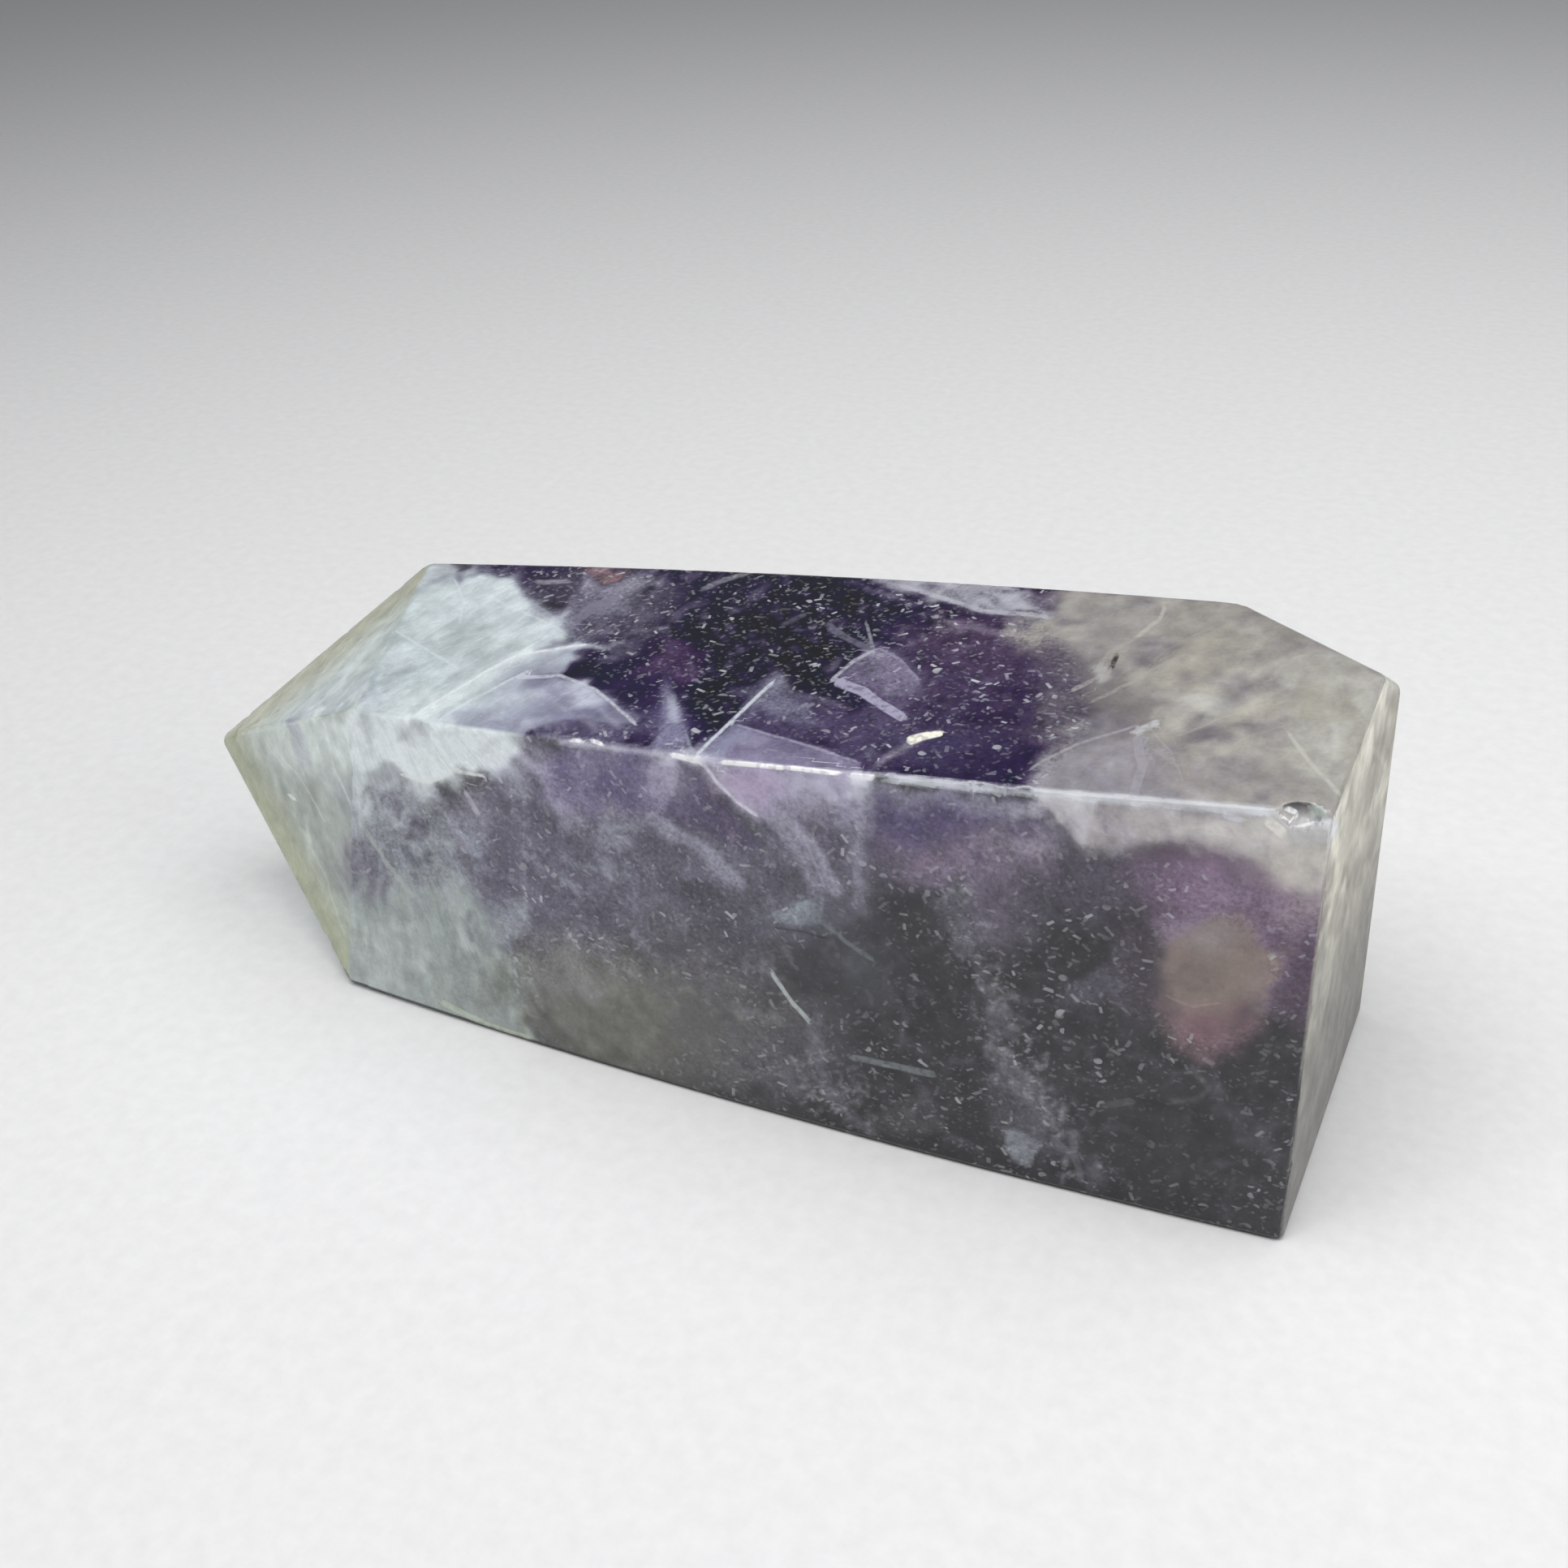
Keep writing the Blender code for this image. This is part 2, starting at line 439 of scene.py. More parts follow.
FRONT_MARKS = {
    "grey purple ground on the left": Spot((640, 1080), (150, 110), (107, 104, 118)),
    "grey purple ground under the middle": Spot((800, 1060), (110, 120), (98, 96, 107)),
    "grey purple ground in the middle": Spot((960, 1080), (110, 90), (106, 105, 117), 0.9),
    "olive ground low on the left": Spot((770, 1250), (150, 80), (112, 112, 107), 1, 0.45, 15),
    "grey ground low in the middle": Spot((900, 1260), (80, 80), (98, 97, 99), 0.8),
    "grey ground lower in the middle": Spot((1000, 1300), (60, 60), (92, 90, 95), 0.7),
    "dim ground above the olive": Spot((850, 1165), (70, 50), (96, 94, 100), 0.8),
    "lavender belt under the ridge": Spot((740, 960), (120, 45), (122, 116, 139), 1, 0.45, 8),
    "purple core at the belt's start": Spot((690, 950), (30, 35), (104, 97, 127), 0.7),
    "purple core in the belt": Spot((768, 968), (32, 28), (92, 86, 114), 0.8),
    "purple under the belt": Spot((610, 1040), (60, 50), (98, 95, 108), 0.8),
    "purple belt right of the middle": Spot((1180, 1030), (130, 60), (100, 93, 114), 1, 0.45),
    "dark purple by the white node": Spot((1130, 1005), (75, 32), (86, 79, 106), 0.8),
    "pink under the right belt": Spot((1190, 1065), (95, 30), (117, 107, 122), 0.9),
    "grey under the pink": Spot((1225, 1120), (60, 50), (104, 98, 111), 0.8),
    "grey left of the arc": Spot((1340, 1090), (75, 50), (92, 88, 99), 0.8),
    "pale strip along the ridge": Patch(
        [(1062, 960), (1274, 980), (1300, 1010), (1240, 1000), (1160, 985), (1075, 985)], (142, 141, 155),
        0.8, 10
    ),
    "beige strip to the base": Patch(
        [(1280, 975), (1640, 995), (1650, 1160), (1610, 1110), (1560, 1070), (1500, 1045), (1440, 1035),
         (1390, 1050), (1340, 1045), (1300, 1015)], (176, 171, 173), 0.95, 18, 8
    ),
    "warm end of the strip": Spot((1595, 1060), (70, 50), (190, 186, 179), 0.9, 0.6, 30),
    "light top of the strip": Spot((1540, 1022), (80, 20), (198, 196, 192), 0.8),
    "purple under the warm end": Spot((1606, 1130), (30, 20), (140, 128, 136), 0.7, 0.6, 30),
    "pale wedge at the strip's start": Patch(
        [(1274, 978), (1355, 985), (1345, 1005), (1333, 1040), (1305, 1015)], (196, 195, 198), 0.85, 3, 4
    ),
    "pale hook beside the wedge": Streak(
        [(1350, 1010), (1385, 1030), (1375, 1045)], 16, (170, 165, 172), 0.7, 6
    ),
    "pale cloud in the belt": Spot((1230, 1030), (30, 20), (132, 124, 136), 0.7),
    "pale cloud under the wedge": Spot((1280, 1040), (25, 15), (140, 134, 144), 0.6),
    "purple arc round the tan lump": Patch(
        [(1395, 1055), (1450, 1038), (1500, 1045), (1560, 1072), (1605, 1108), (1650, 1150), (1650, 1260),
         (1595, 1235), (1560, 1250), (1440, 1190), (1420, 1140)], (118, 102, 120), 0.95, 20, 8
    ),
    "light top of the arc": Spot((1490, 1095), (70, 26), (134, 114, 138), 0.75, 0.6, 12),
    "dim end of the arc": Spot((1605, 1220), (25, 60), (88, 78, 90), 0.9),
    "dim start of the arc": Spot((1405, 1085), (34, 40), (100, 90, 104), 0.7, 0.6),
    "lavender left of the lump": Spot((1460, 1150), (34, 22), (136, 126, 142), 0.8, 0.6, -20),
    "tan lump": Spot((1492, 1214), (76, 76), (129, 118, 113), 1, 0.22, 0, 20),
    "warm heart of the lump": Spot((1514, 1190), (44, 34), (138, 127, 120), 0.6, 0.7),
    "grey top of the lump": Spot((1490, 1158), (36, 16), (140, 132, 136), 0.6, 0.7),
    "pink rim of the lump": Patch(
        [(1415, 1222), (1450, 1240), (1490, 1250), (1535, 1240), (1560, 1262), (1530, 1300), (1480, 1308),
         (1440, 1285)], (122, 101, 108), 0.8, 16, 6
    ),
    "dark side of the rim": Spot((1480, 1272), (22, 14), (112, 90, 98), 0.7, 0.6, 20),
    "line over the rim": Streak([(1438, 1228), (1468, 1240), (1500, 1236)], 3, (158, 140, 140), 0.7, 2, 4),
    "shade left of the lump": Spot((1395, 1190), (35, 60), (84, 78, 86), 0.8),
    "dark sheet under the ridge": Patch(
        [(838, 948), (862, 952), (905, 1002), (940, 1035), (905, 1045), (855, 1015), (812, 1000),
         (818, 985)], (86, 80, 99), 0.9, 5, 6
    ),
    "lavender sheet under the ridge": Patch(
        [(862, 925), (1062, 945), (1062, 1040), (1035, 1030), (1000, 1022), (945, 1010), (905, 985)],
        (166, 159, 181), 0.92, 7, 8, ((960, 985), (975, 1045), 0.2)
    ),
    "pink light in the sheet": Spot((925, 968), (48, 16), (168, 152, 178), 0.6, 0.6, 10),
    "soft edge of the sheet": Streak([(862, 936), (890, 968), (930, 1003)], 14, (176, 170, 188), 0.5, 6, 4),
    "bright edge of the sheet": Streak(
        [(858, 930), (885, 965), (905, 985), (932, 1004)], 4, (212, 210, 222), 0.9, 2, 4
    ),
    "edge on from the sheet": Streak([(932, 1004), (965, 1012), (1000, 1040)], 2, (150, 148, 162), 0.7, 2, 4),
    "pale sheet left of the dark one": Patch(
        [(800, 936), (842, 940), (832, 975), (815, 992), (798, 975)], (156, 149, 169), 0.8, 5, 6,
        ((820, 940), (812, 990), 0.4)
    ),
    "slanting bar": Streak([(806, 1008), (850, 1038), (908, 1090)], 18, (138, 137, 151), 0.85, 5, 4),
    "light edge of the bar": Streak([(800, 1003), (850, 1030), (908, 1078)], 6, (150, 149, 162), 0.6, 4, 4),
    "fan of strands": Patch(
        [(950, 1003), (985, 1012), (1010, 1050), (1032, 1095), (1005, 1100), (970, 1050)], (132, 130, 144),
        0.7, 7, 8
    ),
    "first strand of the fan": Streak(
        [(948, 1006), (985, 1050), (1008, 1100)], 8, (150, 148, 162), 0.6, 4, 4
    ),
    "second strand of the fan": Streak(
        [(965, 1006), (1005, 1042), (1030, 1096)], 9, (152, 150, 164), 0.7, 4, 4
    ),
    "bright line of the fan": Streak([(958, 1006), (994, 1040), (1016, 1092)], 3, (176, 174, 188), 0.6, 2, 4),
    "dark gap in the fan": Patch(
        [(990, 1005), (1045, 1028), (1062, 1050), (1035, 1078), (1015, 1050)], (97, 94, 104), 0.75, 6, 6
    ),
    "pale column": Patch(
        [(1038, 950), (1080, 954), (1072, 1030), (1064, 1130), (1054, 1128), (1046, 1040)], (150, 149, 164),
        0.8, 8, 6, ((1060, 960), (1060, 1130), 0.35)
    ),
    "light down the column": Streak(
        [(1062, 958), (1060, 1020), (1056, 1085)], 14, (168, 167, 180), 0.6, 6, 4, 4
    ),
    "blue grey wedge": Patch(
        [(948, 1132), (990, 1108), (1018, 1104), (1012, 1136), (975, 1142)], (136, 143, 150), 0.85, 3, 5
    ),
    "strand into the wedge": Streak([(905, 1140), (950, 1130)], 8, (112, 114, 122), 0.7, 4),
    "black crack under the wedge": Streak(
        [(958, 1144), (990, 1148), (1016, 1156)], 3, (52, 52, 58), 0.8, 2, 2
    ),
    "dark hollow left of the wedge": Patch(
        [(835, 1082), (868, 1080), (890, 1108), (865, 1125), (845, 1105)], (80, 78, 85), 0.8, 4, 6
    ),
    "pale puff in the grey": Spot((755, 1020), (32, 22), (136, 134, 146), 0.6),
    "upright strand in the grey": Streak([(742, 1050), (744, 1092)], 12, (138, 138, 152), 0.6, 5),
    "pale ground by the tip": Patch(
        [(370, 930), (520, 960), (560, 1005), (575, 1090), (620, 1180), (660, 1310), (370, 1260)],
        (146, 152, 155), 0.9, 26, 20
    ),
    "white end of the cloud": Patch(
        [(370, 860), (650, 890), (645, 925), (627, 939), (600, 948), (584, 952), (563, 946), (532, 966),
         (505, 952), (487, 940), (438, 952), (370, 950)], (206, 213, 215), 1, 6, 5
    ),
    "lavender fall beside the white": Patch(
        [(636, 905), (670, 905), (700, 985), (712, 1015), (688, 1000), (652, 955), (640, 945)],
        (146, 142, 160), 0.7, 10, 8
    ),
    "grey triangle in the white": Patch(
        [(512, 922), (562, 918), (560, 944), (538, 960), (520, 945)], (184, 192, 192), 0.7, 4, 6
    ),
    "white edge under the triangle": Streak(
        [(498, 954), (530, 964), (562, 948)], 5, (226, 230, 228), 0.9, 2, 3
    ),
    "white edge beside the triangle": Streak([(563, 950), (594, 956)], 4, (228, 230, 228), 0.9, 2, 3),
    "grey under the white": Patch(
        [(370, 945), (438, 952), (487, 940), (535, 968), (500, 985), (470, 1010), (440, 1040), (370, 1040)],
        (168, 172, 178), 0.8, 14, 10
    ),
    "first dark patch": Spot((512, 1016), (24, 17), (86, 83, 95), 0.9, 0.5, -20),
    "second dark patch": Spot((562, 988), (20, 22), (98, 95, 108), 0.9, 0.5, 60),
    "third dark patch": Spot((482, 990), (18, 10), (108, 106, 120), 0.8, 0.5, -30),
    "dark leaf": Spot((452, 1066), (34, 22), (112, 110, 122), 0.85, 0.5, 50),
    "foot of the leaf": Spot((462, 1102), (16, 12), (122, 120, 134), 0.7, 0.6),
    "dark dash": Spot((516, 1060), (22, 7), (100, 99, 110), 0.8, 0.5, 8),
    "short white stroke": Streak([(575, 975), (590, 1003)], 5, (180, 177, 186), 0.8),
    "broad grey stroke": Streak([(560, 1000), (588, 1048)], 14, (132, 140, 152), 0.6, 5),
    "stroke left of the dark patches": Streak(
        [(500, 995), (478, 1022), (455, 1048)], 7, (168, 174, 180), 0.7, 4
    ),
    "first white blade": Patch(
        [(428, 935), (466, 940), (454, 1004), (438, 1014)], (198, 206, 208), 0.75, 9, 6
    ),
    "second white blade": Patch(
        [(500, 940), (556, 944), (534, 984), (520, 986)], (204, 211, 213), 0.85, 6, 5
    ),
    "third white blade": Patch([(588, 936), (632, 932), (656, 984), (644, 994)], (178, 180, 194), 0.6, 8, 6),
    "first stroke of the star": Streak([(457, 983), (492, 962), (530, 980)], 10, (186, 190, 198), 0.6, 5, 5),
    "second stroke of the star": Streak(
        [(519, 975), (505, 1010), (486, 1042)], 8, (162, 164, 174), 0.6, 5, 5
    ),
    "third stroke of the star": Streak([(536, 972), (556, 1010), (584, 1053)], 9, (162, 164, 175), 0.6, 5, 5),
    "fourth stroke of the star": Streak(
        [(470, 1028), (520, 1046), (560, 1040)], 8, (160, 164, 172), 0.5, 5, 5
    ),
    "fifth stroke of the star": Streak(
        [(436, 1000), (452, 1030), (500, 1078)], 9, (172, 178, 181), 0.6, 5, 5
    ),
    "fall beside the lavender": Streak([(640, 925), (668, 970), (700, 1020)], 7, (160, 156, 174), 0.5, 5, 6),
    "pale green foot of the front": Patch(
        [(370, 1105), (450, 1118), (500, 1100), (560, 1095), (585, 1130), (600, 1170), (600, 1210),
         (640, 1240), (650, 1262), (655, 1300), (560, 1270), (370, 1220)], (154, 161, 158), 0.9, 22, 14
    ),
    "grey shoulder of the foot": Patch(
        [(560, 1100), (650, 1120), (640, 1165), (600, 1175)], (144, 149, 154), 0.8, 12, 16
    ),
    "white puff in the foot": Spot((490, 1150), (16, 14), (188, 195, 192), 0.8),
    "second puff in the foot": Spot((455, 1150), (14, 10), (180, 188, 184), 0.7),
    "third puff in the foot": Spot((575, 1150), (14, 22), (172, 180, 178), 0.7),
    "olive shade in the foot": Spot((625, 1215), (38, 24), (116, 119, 112), 0.8, 0.5, 20),
    "grey shade past the foot": Spot((700, 1205), (60, 26), (118, 119, 117), 0.7, 0.5, 10),
    "pale line past the leaf": Streak([(452, 1025), (478, 1068), (510, 1105)], 5, (164, 170, 168), 0.8, 2, 4),
    "light along the bottom edge": Streak(
        [(545, 1235), (600, 1262), (650, 1280)], 7, (186, 194, 176), 0.8, 3, 3
    ),
    "pale end of the foot": Streak([(640, 1245), (648, 1278)], 14, (150, 155, 146), 0.7, 4),
    "bright crack low in the middle": Streak(
        [(950, 1197), (975, 1235), (996, 1258)], 5, (178, 184, 184), 0.9, 2, 3
    ),
    "dim crack below it": Streak(
        [(996, 1258), (1016, 1300), (1022, 1335), (1060, 1380), (1076, 1396)], 16, (108, 108, 116), 0.8, 6,
        10
    ),
    "soft stroke low in the middle": Streak(
        [(1050, 1303), (1100, 1313), (1148, 1324)], 8, (122, 127, 130), 0.85, 3, 3
    ),
    "fine curve past the wedge": Streak(
        [(1010, 1134), (1042, 1162), (1076, 1182)], 5, (116, 121, 126), 0.8, 2, 3
    ),
    "grey smear": Streak([(915, 1252), (955, 1254)], 14, (122, 122, 124), 0.6, 4, 4),
    "chain of flecks": Streak(
        [(1165, 1090), (1185, 1140), (1200, 1190), (1215, 1225), (1232, 1290), (1262, 1340), (1300, 1400),
         (1345, 1460)], 26, (102, 102, 109), 0.75, 12, 14, 16
    ),
    "pale chip at the chain's foot": Patch(
        [(1238, 1390), (1262, 1396), (1286, 1406), (1270, 1437), (1250, 1430), (1238, 1415)],
        (136, 139, 147), 0.9, 3, 4
    ),
    "strand below the chip": Streak([(1300, 1400), (1322, 1425), (1330, 1455)], 8, (112, 112, 120), 0.7),
    "curl low on the right": Streak(
        [(1470, 1315), (1490, 1340), (1478, 1358), (1440, 1362)], 7, (100, 102, 102), 0.7, 4
    ),
    "strand beside the curl": Streak([(1500, 1320), (1510, 1360)], 6, (96, 96, 104), 0.6, 4),
    "puff low on the right": Spot((1120, 1375), (40, 25), (90, 90, 91), 0.7),
    "puff in the low corner": Spot((1545, 1400), (50, 20), (86, 85, 92), 0.6, 0.5, 40),
    "puff left of the lump": Spot((1345, 1225), (30, 22), (104, 101, 112), 0.7),
    "dash below the lump": Streak([(1362, 1362), (1392, 1358)], 9, (98, 97, 102), 0.7),
    "pale between the leaves": Spot((580, 1000), (34, 28), (146, 147, 158), 0.6, 0.7),
    "dark leaf past the facet": Spot((474, 1062), (28, 36), (112, 111, 120), 0.6, 0.6),
    "pale foot by the tip": Spot((482, 1200), (54, 34), (176, 183, 182), 0.7, 0.7),
    "shade under the middle": Spot((740, 1120), (40, 30), (82, 80, 90), 0.5, 0.8),
    "shade right of the middle": Spot((900, 1132), (44, 28), (76, 75, 82), 0.5, 0.8),
    "haze under the first joint": Spot((820, 966), (34, 18), (156, 152, 168), 0.6, 0.7),
    "haze low in the middle": Spot((962, 1332), (46, 26), (112, 111, 116), 0.5, 0.8),
    "haze in the plain dark": Spot((1060, 1200), (44, 40), (96, 98, 104), 0.5, 0.8),
    "haze by the chain": Spot((1262, 1358), (36, 44), (112, 113, 120), 0.5, 0.8),
    "light belt": Spot((1258, 1050), (44, 24), (142, 134, 146), 0.5, 0.8),
    "purple by the strip": Spot((1522, 1100), (44, 24), (138, 124, 142), 0.6, 0.8),
    "pale purple by the base": Spot((1600, 1128), (28, 26), (146, 134, 143), 0.6, 0.7),
    "low light of the strip": Spot((1524, 1040), (44, 14), (186, 182, 182), 0.6, 0.6, 8),
    "light in the olive ground": Spot((700, 1200), (40, 28), (138, 139, 140), 0.5, 0.8),
    "shade by the pale foot": Spot((600, 1128), (30, 24), (112, 114, 124), 0.5, 0.8),
    "shade in the pale foot": Spot((470, 1140), (22, 24), (132, 136, 138), 0.5, 0.7),
    "wisps fanning from the tip": Wisps(
        [(430, 960), (600, 960), (760, 1010), (840, 1090), (800, 1180), (620, 1160), (430, 1080)], 230,
        (380, 700), 16, (14, 60), (3, 8), [(160, 168, 174), (150, 156, 168), (140, 140, 154), (90, 88, 99),
         (98, 95, 108)], (0.15, 0.5), 1
    ),
    "fingers of the pale foot": Wisps(
        [(430, 1070), (560, 1085), (640, 1150), (650, 1270), (520, 1225), (425, 1180)], 120, 82, 16,
        (20, 80), (5, 13), [(178, 187, 184), (170, 179, 176), (132, 141, 136), (140, 147, 148)],
        (0.15, 0.45), 2
    ),
    "wisps in the olive ground": Wisps(
        [(600, 1180), (880, 1170), (960, 1290), (900, 1330), (660, 1270)], 70, 35, 30, (12, 60), (3, 7),
        [(140, 142, 134), (128, 129, 124), (92, 92, 84)], (0.12, 0.4), 3
    ),
    "wisps in the grey ground": Wisps(
        [(600, 1000), (1060, 1000), (1060, 1180), (840, 1200), (620, 1150)], 210, 60, 40, (8, 34), (3, 6),
        [(146, 145, 158), (134, 133, 146), (84, 82, 94)], (0.15, 0.5), 4
    ),
    "wisps in the belt": Wisps(
        [(650, 930), (1060, 960), (1400, 990), (1380, 1100), (1080, 1080), (700, 990)], 170, 70, 35,
        (8, 30), (3, 7), [(156, 148, 168), (142, 128, 150), (86, 78, 102)], (0.12, 0.42), 5
    ),
    "haze in the dark": Wisps(
        [(860, 1180), (1390, 1100), (1400, 1310), (1600, 1320), (1590, 1480), (1100, 1390), (880, 1330)],
        260, 55, 45, (10, 60), (5, 11), [(106, 106, 114), (96, 96, 103), (56, 56, 61)], (0.15, 0.5), 6
    ),
    "wisps in the beige strip": Wisps(
        [(1300, 985), (1640, 1000), (1640, 1150), (1560, 1060), (1340, 1040)], 60, 25, 40, (10, 40), (4, 9),
        [(206, 203, 198), (190, 184, 186), (142, 134, 142)], (0.15, 0.4), 7
    ),
    "grain along the chain": Wisps(
        [(1150, 1080), (1190, 1080), (1260, 1250), (1340, 1400), (1370, 1470), (1320, 1470), (1230, 1330)],
        120, 62, 40, (4, 14), (3, 7), [(158, 158, 164), (136, 136, 143)], (0.25, 0.75), 8
    ),
    "grain low in the middle": Wisps(
        [(990, 1290), (1030, 1290), (1090, 1340), (1070, 1390), (1000, 1370), (940, 1340)], 60, 70, 50,
        (5, 16), (2, 5), [(164, 164, 168), (140, 140, 145)], (0.3, 0.8), 9
    ),
}

